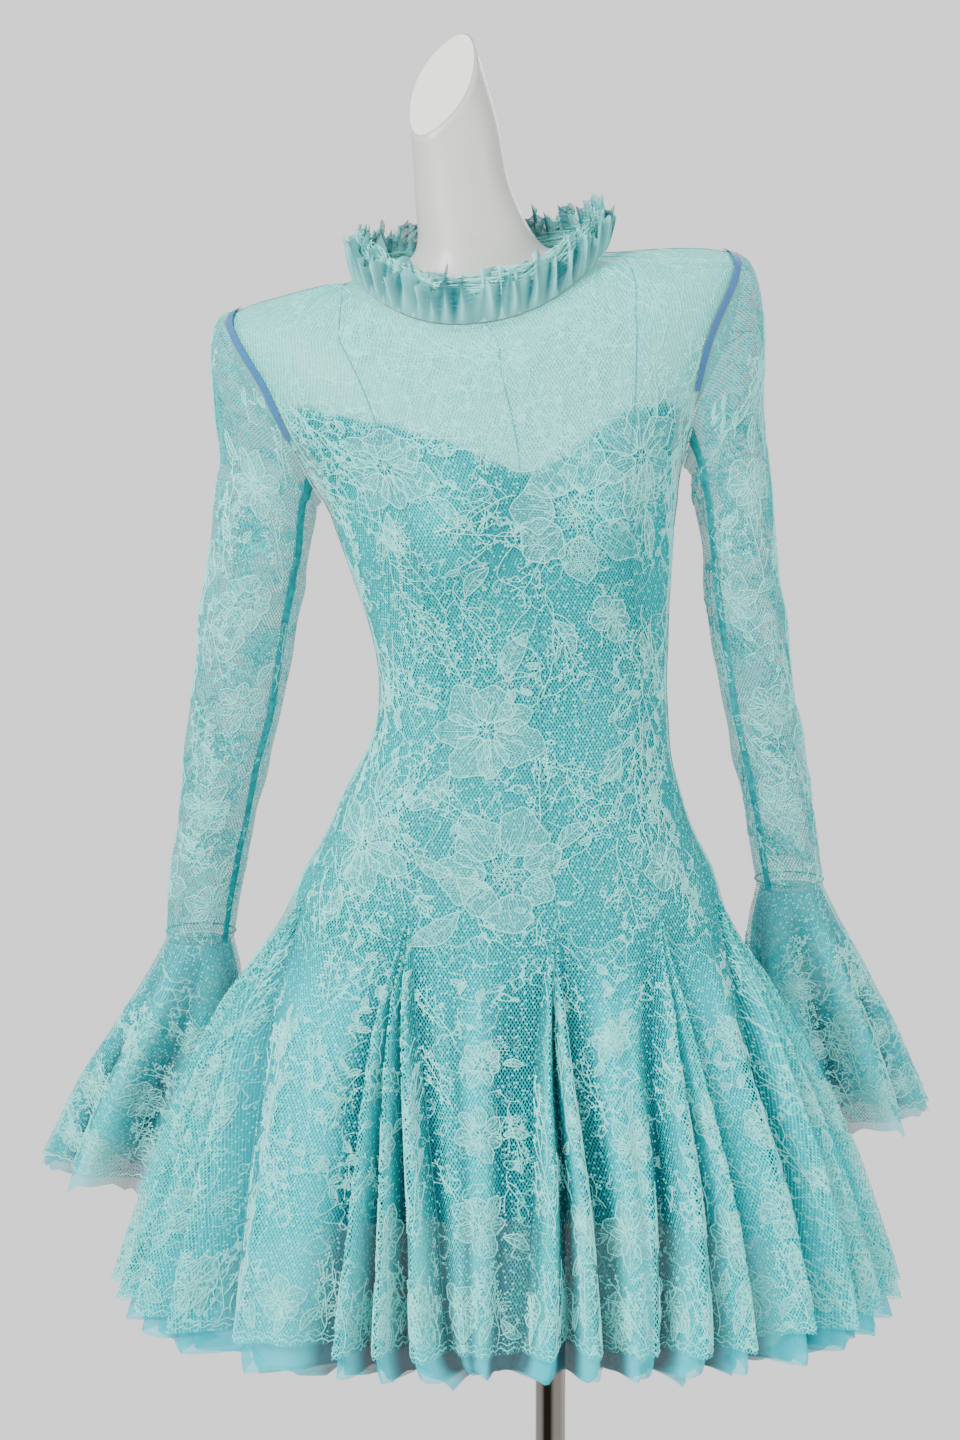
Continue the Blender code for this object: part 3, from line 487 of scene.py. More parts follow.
def gore_point(gore, u, drop, swing=1.0, inset=0.0):
    """A point on a gore: valleys at both edges, ridges between, small gathers over them."""
    reach = np.clip(drop / LACE_HEM, 0, 1.2)
    spread = reach ** SPREAD_POWER
    left = gore.hip_left + (gore.hem_left - gore.hip_left) * spread
    right = gore.hip_right + (gore.hem_right - gore.hip_right) * spread
    wave = 0.5 - 0.5 * np.cos(2 * np.pi * gore.ridges * u)
    rise = (gore.reach - VALLEY + 2 * FOLD_EXTRA) * swing * wave ** FOLD_SHARPNESS
    seed = GORES.index(gore)
    godet = gore.name.startswith("godet")
    gathers = (2.6 if godet else 3.0) * gore.ridges
    crinkle = (GODET_CRINKLE if godet else PANEL_CRINKLE) * np.sin(np.pi * u)
    crinkle = crinkle * np.sin(2 * np.pi * gathers * u + 1.7 * seed)
    growth = reach ** FOLD_POWER
    head = reach ** (FOLD_POWER * FOLD_HEAD) if godet else growth
    offset = (VALLEY - FOLD_EXTRA + crinkle) * growth + rise * head
    return skirt_point(left + (right - left) * u, drop, offset - inset * np.clip(drop / 3, 0, 1))


def armhole(side, turn, lift):
    """The edge of the armhole: turn 0 at the shoulder tip, 90 at the front, 180 underarm."""
    turn = np.asarray(turn, float) % 360
    w = 0.5 + 0.5 * np.cos(np.radians(turn))
    row = UNDERARM + (TIP - UNDERARM) * w
    reach = armhole_angle(row)
    angle = np.where(turn < 180, side * reach, 180 - side * reach)
    return angle, row, body(angle, row, lace_lift(angle, row) + lift)


def hang_ring(hang, side, turn, grow=0.0):
    """A ring of a sleeve at some turns: it starts at the outer side and goes by the front."""
    hang = Hang(*hang)
    tilt = math.radians(abs(hang.tilt))
    reach = (hang.across + grow) * np.cos(turn)
    x = hang.x + side * reach * math.cos(tilt)
    y = hang.y - (hang.fore + grow) * np.sin(turn)
    z = hang.z + reach * math.sin(tilt)
    return np.stack([x, y, z], -1)


def hem_rise(gore, u):
    """The lace hem isn't level: each gore is a little shorter in places."""
    seed = GORES.index(gore)
    return 1 - HEM_LIFT * np.sin(np.pi * u) * (0.5 + 0.5 * math.sin(2.3 * seed + 0.6))


def panel_rows(gore):
    """Rows of a lace panel's mid wall, hem to neck."""
    u = np.linspace(0, 1, SEAM_COLUMNS * 2 + 1)
    rows = [gore_point(gore, u, drop * hem_rise(gore, u))
            for drop in np.linspace(LACE_HEM, 0, SKIRT_ROWS, endpoint=False)]
    top = NECK if not gore.name.startswith("side_front") else NECK - 0.5
    for at in np.arange(HIP, top + 0.01, 1 / ROWS_A_RING):
        left, right = edge_angles(gore.name, at)
        angle = left + (right - left) * u
        rows.append(body(angle, at, lace_lift(angle, np.full(u.shape, at))))
    return np.array(rows)


def godet_rows(gore):
    u = np.linspace(0, 1, FOLD_COLUMNS * gore.ridges + 1)
    return np.array([gore_point(gore, u, drop * hem_rise(gore, u))
                     for drop in np.linspace(LACE_HEM, 0.12, SKIRT_ROWS)])


def net_rows(swing, inset, hem, ragged, seed):
    """Rows of a net layer all round, hem to hip, with a ragged hem."""
    draw = np.random.default_rng(seed)
    drops = np.linspace(hem, 0.25, SKIRT_ROWS)
    columns = []
    for gore in GORES:
        count = (FOLD_COLUMNS // 2) * gore.ridges if "godet" in gore.name else SEAM_COLUMNS
        u = np.linspace(0, 1, count, endpoint=False)
        uneven = np.interp(np.arange(count), np.arange(0, count + 3, 3),
                           draw.normal(0, ragged, (count + 5) // 3))
        drop = drops[:, None] + uneven * (np.linspace(1, 0, SKIRT_ROWS) ** 3)[:, None]
        columns.append(gore_point(gore, np.broadcast_to(u, drop.shape), drop, swing, inset))
    rows = np.concatenate(columns, 1)
    return np.concatenate([rows, rows[:, :1]], 1)


def lining_rows(part):
    """Rows of the strapless lining's front or back, foot to the sweetheart edge."""
    share = np.linspace(0, 1, LINING_COLUMNS)
    left, right = edge_angles(part, UNDERARM)
    top_angle = left + (right - left) * share
    top = row_of_height(top_angle, sweetheart(top_angle))
    top = np.minimum(top, underarm_row(top_angle) - UNDERARM_DROP)
    rows = []
    for t in np.linspace(0, 1, LINING_ROWS):
        level = LINING_FOOT + (top - LINING_FOOT) * t
        left, right = edge_angles(part, np.minimum(level, UNDERARM))
        angle = left + (right - left) * share
        close = np.clip((level - LINING_CLOSE_FROM) / 1.5, 0, 1) * LINING_TOP_CLOSE
        rows.append(body(angle, level, FORM_TO_LINING + LINING / 2 - close))
    return np.array(rows)


def sleeve_rows(side, hangs):
    """Rows of a sleeve, wrist to armhole."""
    turn = np.linspace(0, 360, SLEEVE_COLUMNS + 1)
    edge = armhole(side, turn, LACE + LAP_GAP)[2] + np.array([side * SLEEVE_START, 0, 0])
    around = np.radians(turn)
    first = hang_ring(hangs[0], side, around)
    rows = []
    for step in range(HEAD_ROWS):
        w = step / HEAD_ROWS
        outer = np.clip(np.cos(around) + 0.25, 0, None)[:, None]
        swell = outer * math.sin(math.pi * w ** HEAD_RISE) * HEAD_BULGE
        rows.append(edge * (1 - w) + first * w + swell * np.array([side, 0.0, 0.55]))
    for at in np.linspace(0, len(hangs) - 1, SLEEVE_ROWS):
        rows.append(hang_ring(smooth(hangs, at), side, around))
    return np.array(rows[::-1])


def wrinkle(rows, size, seed):
    """Soft slanted wrinkles over a hanging sleeve, none at its ends."""
    count, columns = rows.shape[:2]
    t = np.linspace(0, 1, count)[:, None]
    u = np.linspace(0, 2 * np.pi, columns)[None, :]
    hold = np.sin(np.pi * t) ** 0.5
    ripple = np.sin(2 * u + 26 * t + seed) * 0.5 + np.sin(3 * u - 41 * t + 2 * seed) * 0.3
    ripple = ripple + np.sin(u + 63 * t + seed) * 0.2
    outward = unit(rows - rows.mean(1, keepdims=True))
    return rows + outward * (ripple * hold * size)[..., None]


def cuff_rows(hangs, side, grow, stretch, ragged=0.0):
    """Rows of a bell cuff, hem to wrist, with ridges that deepen to the hem."""
    turn = np.linspace(0, 2 * np.pi, CUFF_COLUMNS + 1)
    draw = np.random.default_rng(3)
    uneven = np.interp(turn, np.linspace(0, 2 * np.pi, 65), draw.normal(0, ragged, 65))
    rows = []
    for step in np.linspace(1, 0, CUFF_ROWS):
        hang = Hang(*smooth(hangs, step * (len(hangs) - 1)))
        ring = hang_ring(hang, side, turn, grow)
        wave = np.cos(CUFF_RIDGES * turn) * CUFF_FOLD * CUFF_DEEPER * step ** 1.2
        wave = wave + np.sin(17 * turn + 1) * 0.0016 * step ** 1.5
        outward = unit(ring - np.array([hang.x, hang.y, hang.z]))
        rows.append(ring + outward * wave[:, None])
    rows = np.array(rows)
    fall = rows[0] - rows[4]
    hang_low = (np.linspace(1, 0, CUFF_ROWS) ** 4)[:, None, None]
    return rows + hang_low * fall * ((stretch - 1) * 3 + uneven)[None, :, None]


def collar_rows(layer):
    """Rows of one frill of the collar: tight gathers at the seat that open and curl above."""
    turn = np.linspace(0, 360, COLLAR_COLUMNS + 1)
    seat, normal, _, _ = body_frame(turn, np.full(turn.shape, float(NECK)))
    seat = seat + normal * (YOKE_LIFT + LACE + RUFFLE_SEAT)
    around = np.radians(turn)
    inward = np.stack([-np.sin(around), np.cos(around), 0 * turn], -1)
    forward = np.stack([np.cos(around), np.sin(around), 0 * turn], -1)
    bend = np.sin(3 * around + layer) * 1.3 + np.sin(7 * around + 2 * layer) * 0.6
    rows = []
    for step in np.linspace(0, 1, COLLAR_ROWS):
        open_out = 0.18 + 0.82 * step ** 0.8
        wave = np.sin(43 * around + bend * 2 + layer * 2.1) * 0.0036
        wave = wave + np.sin(71 * around - bend * 3 + layer) * 0.0017
        curl = np.cos(43 * around + bend * 2 + layer * 2.1 + 1.2 * step) * 0.0034
        uneven = 1 + 0.13 * np.sin(19 * around + 5 * layer) + 0.10 * np.sin(47 * around)
        uneven = uneven + 0.06 * np.sin(101 * around + 2 * layer)
        rise = RUFFLE_HEIGHT * step * (1.0 - 0.20 * layer) * uneven
        lean = RUFFLE_LEAN * step - 0.0085 * layer * step ** 0.7
        point = seat + inward * (lean - wave * open_out)[:, None]
        point = point + forward * (curl * open_out * step)[:, None]
        rows.append(point + np.stack([0 * turn, 0 * turn, rise], -1))
    return np.array(rows)


def tape_rows(side):
    """Rows of a tape laid on the lace along the upper armhole."""
    reach = 180 * TAPE_SPAN
    turn = np.linspace(-reach, reach, TAPE_COLUMNS)
    angle, row, _ = armhole(side, turn, 0.0)
    tangent = armhole(side, turn + 3, 0.0)[2] - armhole(side, turn - 3, 0.0)[2]
    _, normal, along, up = body_frame(angle, row)
    inward = unit(np.cross(normal, tangent))
    inward *= np.where((inward[:, 0] * side) > 0, -1, 1)[:, None]
    rows = []
    for width in np.linspace(0.0004, TAPE_WIDTH, 5):
        moved_angle, moved_row = angle.copy(), row.copy()
        for i in range(len(turn)):
            steps = np.stack([along[i], up[i]], -1)
            move = np.linalg.lstsq(steps, inward[i] * width, rcond=None)[0]
            moved_angle[i] += move[0]
            moved_row[i] += move[1]
        lift = lace_lift(moved_angle, moved_row) + LACE + LAP_GAP + TAPE_THICK / 2
        rows.append(body(moved_angle, moved_row, lift))
    return np.array(rows)


# ------------------------------------------------------------
# Flat frames: cloth surfaces that lace is laid out on in real metres
# ------------------------------------------------------------


class Cloth:
    """A cloth surface with its flat frame: x runs across from a middle line, y up from the hem."""

    def __init__(self, rows, middle=0.5, lift=0.0):
        across = np.gradient(rows, axis=1)
        up = np.gradient(rows, axis=0)
        normal = unit(np.cross(across, up), TINY)
        outward = rows - rows.mean((0, 1))
        outward[..., 2] = 0
        if (normal * outward).sum() < 0:
            rows, normal = rows[:, ::-1], -normal[:, ::-1]
        self.closed = np.allclose(rows[:, 0], rows[:, -1], atol=1e-6)
        self.points = rows + normal * lift
        self.normals = normal
        step = np.linalg.norm(np.diff(rows, axis=1), axis=2)
        reach = np.concatenate([np.zeros((len(rows), 1)), np.cumsum(step, 1)], 1)
        column = middle * (rows.shape[1] - 1)
        low = int(min(column, rows.shape[1] - 2))
        start = reach[:, low] + (reach[:, low + 1] - reach[:, low]) * (column - low)
        self.x = reach - start[:, None]
        line = rows[:, low]
        rise = np.linalg.norm(np.diff(line, axis=0), axis=1)
        self.y = np.concatenate([[0], np.cumsum(rise)])

    def place(self, flat):
        """Points, normals and which are on the cloth, for flat points."""
        x, y = flat[:, 0], flat[:, 1]
        at = np.interp(y, self.y, np.arange(len(self.y)))
        low = np.minimum(at.astype(int), len(self.y) - 2)
        t = (at - low)[:, None]
        inside = (y >= 0) & (y <= self.y[-1])
        points = normals = 0
        for row, share in ((low, 1 - t), (low + 1, t)):
            reach = self.x[row]
            if self.closed:
                x = reach[:, 0] + (x - reach[:, 0]) % (reach[:, -1] - reach[:, 0])
            column = np.clip((reach <= x[:, None]).sum(1) - 1, 0, reach.shape[1] - 2)
            pick = np.arange(len(x))
            left, right = reach[pick, column], reach[pick, column + 1]
            w = np.clip((x - left) / np.maximum(right - left, 1e-9), 0, 1)[:, None]
            inside &= (x >= reach[:, 0] - 1e-4) & (x <= reach[:, -1] + 1e-4)
            here = self.points[row, column] * (1 - w) + self.points[row, column + 1] * w
            face = self.normals[row, column] * (1 - w) + self.normals[row, column + 1] * w
            points = points + here * share
            normals = normals + face * share
        return points, unit(normals, TINY), inside

    def flat_near(self, x, z, front=True):
        """Flat point of the cloth seen from the front or back at a place and height."""
        away = np.hypot(self.points[..., 0] - x, self.points[..., 2] - z)
        away = away + (self.normals[..., 1] > 0) * (10 if front else 0)
        row, column = np.unravel_index(np.argmin(away), away.shape)
        return self.x[row, column], self.y[row]

    def width(self, y):
        """Left and right limits of the cloth at a height above its hem."""
        at = int(round(float(np.interp(y, self.y, np.arange(len(self.y))))))
        return self.x[at, 0], self.x[at, -1]


# ------------------------------------------------------------
# Meshes
# ------------------------------------------------------------


def tint(red, green, blue):
    """A colour as a screen shows it, 0 to 255, made linear."""
    return tuple(
        c / 12.92 if c <= 0.04045 else ((c + 0.055) / 1.055) ** 2.4
        for c in (red / 255, green / 255, blue / 255)
    )


def new_piece(name, points, polygons, uv, stuff, **shades):
    """An object from points and arrays of like faces, with its flat frame as UV map."""
    mesh = bpy.data.meshes.new(name)
    mesh.vertices.add(len(points))
    mesh.vertices.foreach_set("co", np.asarray(points, np.float32).ravel())
    corners = np.concatenate([np.asarray(faces, np.int32).ravel() for faces in polygons])
    sizes = np.concatenate([np.full(len(faces), len(faces[0])) for faces in polygons])
    mesh.loops.add(len(corners))
    mesh.loops.foreach_set("vertex_index", corners)
    mesh.polygons.add(len(sizes))
    starts = np.concatenate([[0], np.cumsum(sizes)[:-1]]).astype(np.int32)
    mesh.polygons.foreach_set("loop_start", starts)
    mesh.update(calc_edges=True)
    mesh.polygons.foreach_set("use_smooth", np.ones(len(sizes), bool))
    layer = mesh.uv_layers.new(name="flat")
    layer.data.foreach_set("uv", np.asarray(uv, np.float32)[corners].ravel())
    for key, values in shades.items():
        shade = mesh.attributes.new(key, "FLOAT", "POINT")
        shade.data.foreach_set("value", np.asarray(values, np.float32).ravel())
    mesh.materials.append(stuff)
    piece = bpy.data.objects.new(name, mesh)
    bpy.context.scene.collection.objects.link(piece)
    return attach(piece, "root")


# This fold depth is the mask for the painted shade in the cloth's folds
def crease_depth(surface):
    """How far each point lies out of the cloth's mean run: 0 deep in a fold, 1 on a ridge."""
    points = surface.points
    columns = points.shape[1]
    reach = max(2, min(CREASE_COLUMNS, columns // 3))
    padded = np.concatenate([points[:, :1]] * reach + [points] + [points[:, -1:]] * reach, 1)
    total = np.cumsum(np.concatenate([0 * padded[:, :1], padded], 1), 1)
    window = 2 * reach + 1
    mean = (total[:, window:] - total[:, :-window]) / window
    away = ((points - mean) * surface.normals).sum(2)
    return np.clip(0.5 + away / CREASE_DEPTH, 0, 1)


def over_bare_form(points):
    """1 where the bodice's lace lies above the lining's top edge, 0 below it."""
    angles = np.linspace(-90, 90, 91)
    heights = sweetheart(angles)
    across = body_point(angles, row_of_height(angles, heights))[:, 0]
    edge = np.interp(points[..., 0], across, heights)
    edge = np.where(points[..., 1] < 0, edge, sweetheart(180.0))
    return ease((points[..., 2] - edge) / YOKE_BLEND + 0.5)


def sheet_piece(name, surface, stuff):
    """A cloth sheet on a Cloth's points."""
    count, columns = surface.points.shape[:2]
    index = np.arange(count * columns).reshape(count, columns)
    faces = np.stack([index[:-1, :-1], index[:-1, 1:], index[1:, 1:], index[1:, :-1]], -1)
    height = np.broadcast_to(surface.y[:, None], surface.x.shape)
    uv = np.stack([surface.x, height], -1).reshape(-1, 2)
    bodice = name.startswith("cloth_")
    # the first attribute is the mask for the painted shade in the folds
    return new_piece(
        name, surface.points.reshape(-1, 3), [faces.reshape(-1, 4)], uv, stuff,
        crease=crease_depth(surface), yoke=over_bare_form(surface.points) * bodice,
    )


def form_shell(name, stuff, cap):
    """The dress form's skin: fine rings from its foot to the slanted cap, closed by flat ends."""
    columns = FORM_COLUMNS
    turn = np.linspace(0, 360, columns, endpoint=False)
    levels = np.unique(np.concatenate([np.linspace(0, 2, 9), np.linspace(2, NECK, 96),
                                       np.linspace(NECK, len(RINGS) - 1, 36)]))
    rows = []
    for level in levels:
        shoulder = math.exp(-((level - TIP + 1) / SHOULDER_SPREAD) ** 2)
        inset = (FORM_INSET + SHOULDER_INSET * shoulder) * min(1, level)
        rows.append(body(turn, np.full(columns, level), -inset))
    rim = rows[-1]
    middle = rim.mean(0)
    face = np.cross(rim[1] - middle, rim[columns // 4] - middle)
    inner = middle + (rim - middle) * CAP_RIM
    rows += [inner, inner + face / np.linalg.norm(face) * CAP_RISE]
    points = np.concatenate(rows)
    index = np.arange(len(points)).reshape(-1, columns)
    right = np.roll(index, -1, 1)
    walls = np.stack([index[:-1], right[:-1], right[1:], index[1:]], -1).reshape(-1, 4)
    shell = new_piece(name, points, [walls, index[:1, ::-1], index[-1:]], points[:, :2], stuff)
    shell.data.materials.append(cap)
    # the flat ends take the cap's brighter white, painted light on the neck cap's face
    for flat in shell.data.polygons[len(walls):]:
        flat.use_smooth = False
        flat.material_index = 1
    return shell


class Pile:
    """Gathers small shapes that become one mesh."""

    def __init__(self):
        self.points, self.uv, self.count = [], [], 0
        self.faces = {3: [], 4: []}

    def add(self, points, uv, *polygons):
        self.points.append(points)
        self.uv.append(uv)
        for faces in polygons:
            self.faces[faces.shape[1]].append(faces + self.count)
        self.count += len(points)

    def cords(self, points, normals, radius, joined, lift):
        """Raised cords on the cloth's outer side; joined says which points follow each other."""
        used = np.zeros(len(points), bool)
        used[:-1] |= joined
        used[1:] |= joined
        order = np.cumsum(used) - 1
        step = np.diff(points, axis=0) * joined[:, None]
        along = np.zeros(points.shape)
        along[:-1] += step
        along[1:] += step
        across = unit(np.cross(normals, along), TINY) * radius[:, None]
        tall = normals * radius[:, None] * CORD_TALL
        middle = points + normals * lift
        ridge = np.stack([middle + across, middle + tall, middle - across], 1)[used]
        at = order[:-1][joined] * 3
        sides = [np.stack([at + k, at + k + 1, at + k + 4, at + k + 3], 1) for k in (0, 1)]
        reach = np.concatenate([[0], np.cumsum(np.linalg.norm(step, axis=1))])[used]
        uv = np.stack([np.tile([0, 0.5, 1], len(ridge)), np.repeat(reach, 3)], 1)
        self.add(ridge.reshape(-1, 3), uv, np.concatenate(sides))

    def cord(self, points, normals, radius, lift=0.0):
        """One raised cord through all the points."""
        every = np.ones(len(points) - 1, bool)
        self.cords(points, normals, np.full(len(points), radius), every, lift)

    def strip(self, left, right):
        """A flat band between two lines of points."""
        count = len(left)
        here = np.arange(count - 1)
        quads = np.stack([here, here + count, here + count + 1, here + 1], 1)
        self.add(np.concatenate([left, right]), np.zeros((2 * count, 2)), quads)

    def beads(self, points, normals, radius, tall=KNOT_TALL):
        """Small knots: five sided domes on the cloth."""
        side = unit(np.cross(normals, (0.0, 0.3, 1.0)), TINY)
        other = np.cross(normals, side)
        turns = np.arange(5)[:, None, None] * 2 * math.pi / 5
        ring = points + (np.cos(turns) * side + np.sin(turns) * other) * radius[:, None]
        top = points + normals * radius[:, None] * tall
        shell = np.concatenate([ring, top[None]]).swapaxes(0, 1).reshape(-1, 3)
        here = np.arange(5)
        dome = np.stack([here, np.roll(here, -1), np.full(5, 5)], 1)
        faces = dome[None] + np.arange(len(points))[:, None, None] * 6
        self.add(shell, np.zeros((len(shell), 2)), faces.reshape(-1, 3))

    def patch(self, points, middle, uv):
        """A thin piece of filled lace: an outline closed to its middle point."""
        here = np.arange(len(points))
        fan = np.stack([here, np.roll(here, -1), np.full(len(points), len(points))], 1)
        self.add(np.concatenate([points, [middle]]), uv, fan)

    def piece(self, name, stuff):
        polygons = [np.concatenate(faces) for faces in self.faces.values() if faces]
        points, uv = np.concatenate(self.points), np.concatenate(self.uv)
        return new_piece(name, points, polygons, uv, stuff)


# ------------------------------------------------------------
# Finishes
# ------------------------------------------------------------


class Value:
    """A shader socket that takes part in sums."""

    def __init__(self, tree, socket):
        self.tree, self.socket = tree, socket

    def math(self, operation, *others, swap=False):
        node = self.tree.nodes.new("ShaderNodeMath")
        node.operation = operation
        terms = [self, *others]
        if swap:
            terms.reverse()
        for slot, term in zip(node.inputs, terms):
            if isinstance(term, Value):
                self.tree.links.new(term.socket, slot)
            else:
                slot.default_value = term
        return Value(self.tree, node.outputs[0])

    def __add__(self, other):
        return self.math("ADD", other)

    def __sub__(self, other):
        return self.math("SUBTRACT", other)

    def __rsub__(self, other):
        return self.math("SUBTRACT", other, swap=True)

    def __mul__(self, other):
        return self.math("MULTIPLY", other)

    def __gt__(self, other):
        return self.math("GREATER_THAN", other)

    def __lt__(self, other):
        return self.math("LESS_THAN", other)

    def top(self, other):
        return self.math("MAXIMUM", other)

    def low(self, other):
        return self.math("MINIMUM", other)

    __radd__ = __add__
    __rmul__ = __mul__


class Finish:
    """A Principled material and the nodes that feed it."""

    def __init__(self, name, colour, roughness, metallic=0.0, **constants):
        self.stuff = bpy.data.materials.new(name)
        self.stuff.use_nodes = True
        self.tree = self.stuff.node_tree
        self.shader = self.tree.nodes["Principled BSDF"]
        self.shader.inputs["Base Color"].default_value = (*colour[:3], 1)
        self.shader.inputs["Roughness"].default_value = roughness
        self.shader.inputs["Metallic"].default_value = metallic
        self.stuff.diffuse_color = (*colour[:3], 1)
        for socket, value in constants.items():
            self.shader.inputs[socket.replace("_", " ")].default_value = value

    def node(self, kind, settings=None, output=0, **inputs):
        """A node of a type: its settings first, then its sockets' values or links."""
        node = self.tree.nodes.new(kind)
        for key, value in (settings or {}).items():
            if key == "stops":
                for place, (at, colour) in enumerate(value):
                    ramp = node.color_ramp.elements
                    stop = ramp[place] if place < len(ramp) else ramp.new(at)
                    stop.position, stop.color = at, (*colour, 1)
            else:
                setattr(node, key, value)
        for key, value in inputs.items():
            socket = node.inputs[int(key[1:]) if key[1:].isdigit() else key]
            if isinstance(value, Value):
                self.tree.links.new(value.socket, socket)
            else:
                socket.default_value = value
        return Value(self.tree, node.outputs[output])

    def feed(self, **inputs):
        for key, value in inputs.items():
            self.tree.links.new(value.socket, self.shader.inputs[key.replace("_", " ")])
        return self

    def flat(self):
        """The cloth's own flat frame, x and y in metres."""
        return self.axes(self.flat_vector())[:2]

    def flat_vector(self):
        return self.node("ShaderNodeUVMap", {"uv_map": "flat"})

    def axes(self, vector):
        """The three numbers of a vector."""
        outputs = self.node("ShaderNodeSeparateXYZ", Vector=vector).socket.node.outputs
        return [Value(self.tree, output) for output in outputs]

    def place(self):
        return self.node("ShaderNodeTexCoord", output=3)

    def noise(self, scale, detail=2.0, where=None):
        return self.node(
            "ShaderNodeTexNoise", None, 0,
            Vector=where or self.place(), Scale=scale, Detail=detail,
        )

    def blend(self, share, first, second):
        """A colour between two colours."""
        mix = self.tree.nodes.new("ShaderNodeMix")
        mix.data_type = "RGBA"
        self.tree.links.new(share.socket, mix.inputs[0])
        for slot, colour in ((mix.inputs[6], first), (mix.inputs[7], second)):
            if isinstance(colour, Value):
                self.tree.links.new(colour.socket, slot)
            else:
                slot.default_value = (*colour[:3], 1)
        return Value(self.tree, mix.outputs[2])

    def bump(self, height, distance, strength=1.0):
        return self.node(
            "ShaderNodeBump", None, 0, Height=height, Distance=distance, Strength=strength
        )


def net_threads(finish, pitch, thread):
    """1 on the threads of a net with diamond holes, 0 in the holes."""
    x, y = finish.flat()
    half = thread / pitch / 2
    lean_a = (x * (1 / pitch) + y * (NET_LEAN / pitch)).math("PINGPONG", 0.5)
    lean_b = (x * (1 / pitch) - y * (NET_LEAN / pitch)).math("PINGPONG", 0.5)
    return (lean_a < half).top(lean_b < half)


def woven_figure(finish):
    """Thread drawings that lie flat in the lace: wandering outlines, veins and dots."""
    flat = finish.flat_vector()
    field = finish.noise(OUTLINE_SCALE, 2.0, flat)
    wander = finish.noise(VEIN_SCALE, 2.0, flat)
    outline = (field * OUTLINES).math("PINGPONG", 0.5) < FIGURE_THREAD
    vein = (wander * VEINS).math("PINGPONG", 0.5) < FIGURE_THREAD
    dots = finish.node(
        "ShaderNodeTexVoronoi", {"voronoi_dimensions": "2D"}, 0,
        Vector=flat, Scale=DOT_SCALE, Randomness=0.9,
    ) < DOT_SIZE
    patch = field > 0.5
    return (outline.top(vein) * patch).top(dots * (1 - patch))


def net_finish(name, colour, deep, pitch, thread, cover, pale=None, drawn=None, faded=False):
    """Net: threads round open holes; its colour is darkened in its folds as painted shade.

    cover is the least alpha, for close gathers. pale is its colour over the bare form, and
    drawn that of the threads of the woven figure. A faded net thins out towards the hip.
    """
    finish = Finish(name, colour, 0.78, Specular_IOR_Level=0.2)
    threads = net_threads(finish, pitch, thread)
    cloud = finish.noise(14.0, 3.0)
    # painted shade: the colour goes to the shade colour deep in the folds, with random tone from
    # the noise
    crease = finish.node("ShaderNodeAttribute", {"attribute_name": "crease"}, 2)
    shade_and_tone = (crease * 1.8 + cloud * 0.4 - 0.62).low(1.0).top(0.0)
    ground = finish.blend(shade_and_tone, deep, colour)
    alpha = threads.top(cover)
    if pale:
        yoke = finish.node("ShaderNodeAttribute", {"attribute_name": "yoke"}, 2)
        ground = finish.blend(yoke, ground, pale)
        figure = woven_figure(finish)
        ground = finish.blend(figure * FIGURE_SHARE, ground, drawn)
        alpha = alpha.top(yoke * YOKE_COVER).top(figure * FIGURE_COVER)
    if faded:
        height = finish.axes(finish.place())[2]
        alpha = alpha * ((FADE_TOP - height) * FADE_SPEED).low(1.0).top(0.0)
    finish.feed(Base_Color=ground)
    finish.feed(Alpha=alpha)
    finish.feed(Normal=finish.bump(threads * 0.08 + cloud, 0.003, 0.5))
    return finish.stuff


def lining_finish(colour, deep):
    finish = Finish("lining_silk", colour, 0.6, Specular_IOR_Level=0.25)
    x, y = finish.flat()
    warp = (x * 2200).math("SINE")
    weft = (y * 1800).math("SINE")
    cloud = finish.noise(9.0, 2.0)
    finish.feed(Base_Color=finish.blend(cloud * 1.5 - 0.25, deep, colour))
    finish.feed(Normal=finish.bump((warp + weft) * 0.02 + cloud, 0.003, 0.5))
    finish.feed(Roughness=cloud * 0.16 + 0.42)
    return finish.stuff


def cord_finish(name, colour, deep):
    finish = Finish(name, colour, 0.55, Sheen_Weight=0.12, Sheen_Roughness=0.4)
    cloud = finish.noise(160.0, 1.0)
    finish.feed(Base_Color=finish.blend(cloud * 1.6 - 0.2, deep, colour))
    x, y = finish.flat()
    twist = (y * 7000 + x * 6.283).math("SINE")
    finish.feed(Normal=finish.bump(twist, 0.0001, 0.6))
    return finish.stuff


def filled_finish(colour, deep):
    """Filled petals: close ribs with a little of the cloth behind between them."""
    finish = Finish("filled_lace", colour, 0.62, Sheen_Weight=0.3, Sheen_Roughness=0.4)
    x, _ = finish.flat()
    rib = (x * 3300).math("SINE") * 0.5 + 0.5
    cloud = finish.noise(60.0, 2.0)
    finish.feed(Base_Color=finish.blend(cloud * 1.4 - 0.2, deep, colour))
    finish.feed(Alpha=rib * 0.24 + 0.04)
    finish.feed(Normal=finish.bump(rib, 0.00012, 0.6))
    return finish.stuff


def tape_finish(colour):
    finish = Finish("blue_tape", colour, 0.55, Sheen_Weight=0.2)
    x, _ = finish.flat()
    rib = (x * 5200).math("SINE")
    cloud = finish.noise(220.0, 2.0)
    light = tuple(c * 1.35 + 0.03 for c in colour[:3])
    finish.feed(Base_Color=finish.blend(cloud, colour, light))
    finish.feed(Normal=finish.bump(rib, 0.0001, 0.6))
    return finish.stuff


def form_finish(name, colour):
    """Satin painted body with faint scuffs and a fine orange peel."""
    finish = Finish(name, colour, 0.38, Coat_Weight=0.15)
    scuff = finish.noise(38.0, 4.0)
    grey = tuple(c * 0.88 for c in colour[:3])
    finish.feed(Base_Color=finish.blend((scuff - 0.62) * 4.0, colour, grey))
    finish.feed(Roughness=scuff * 0.22 + 0.30)
    finish.feed(Normal=finish.bump(finish.noise(420.0, 1.0), 0.0002, 0.12))
    return finish.stuff


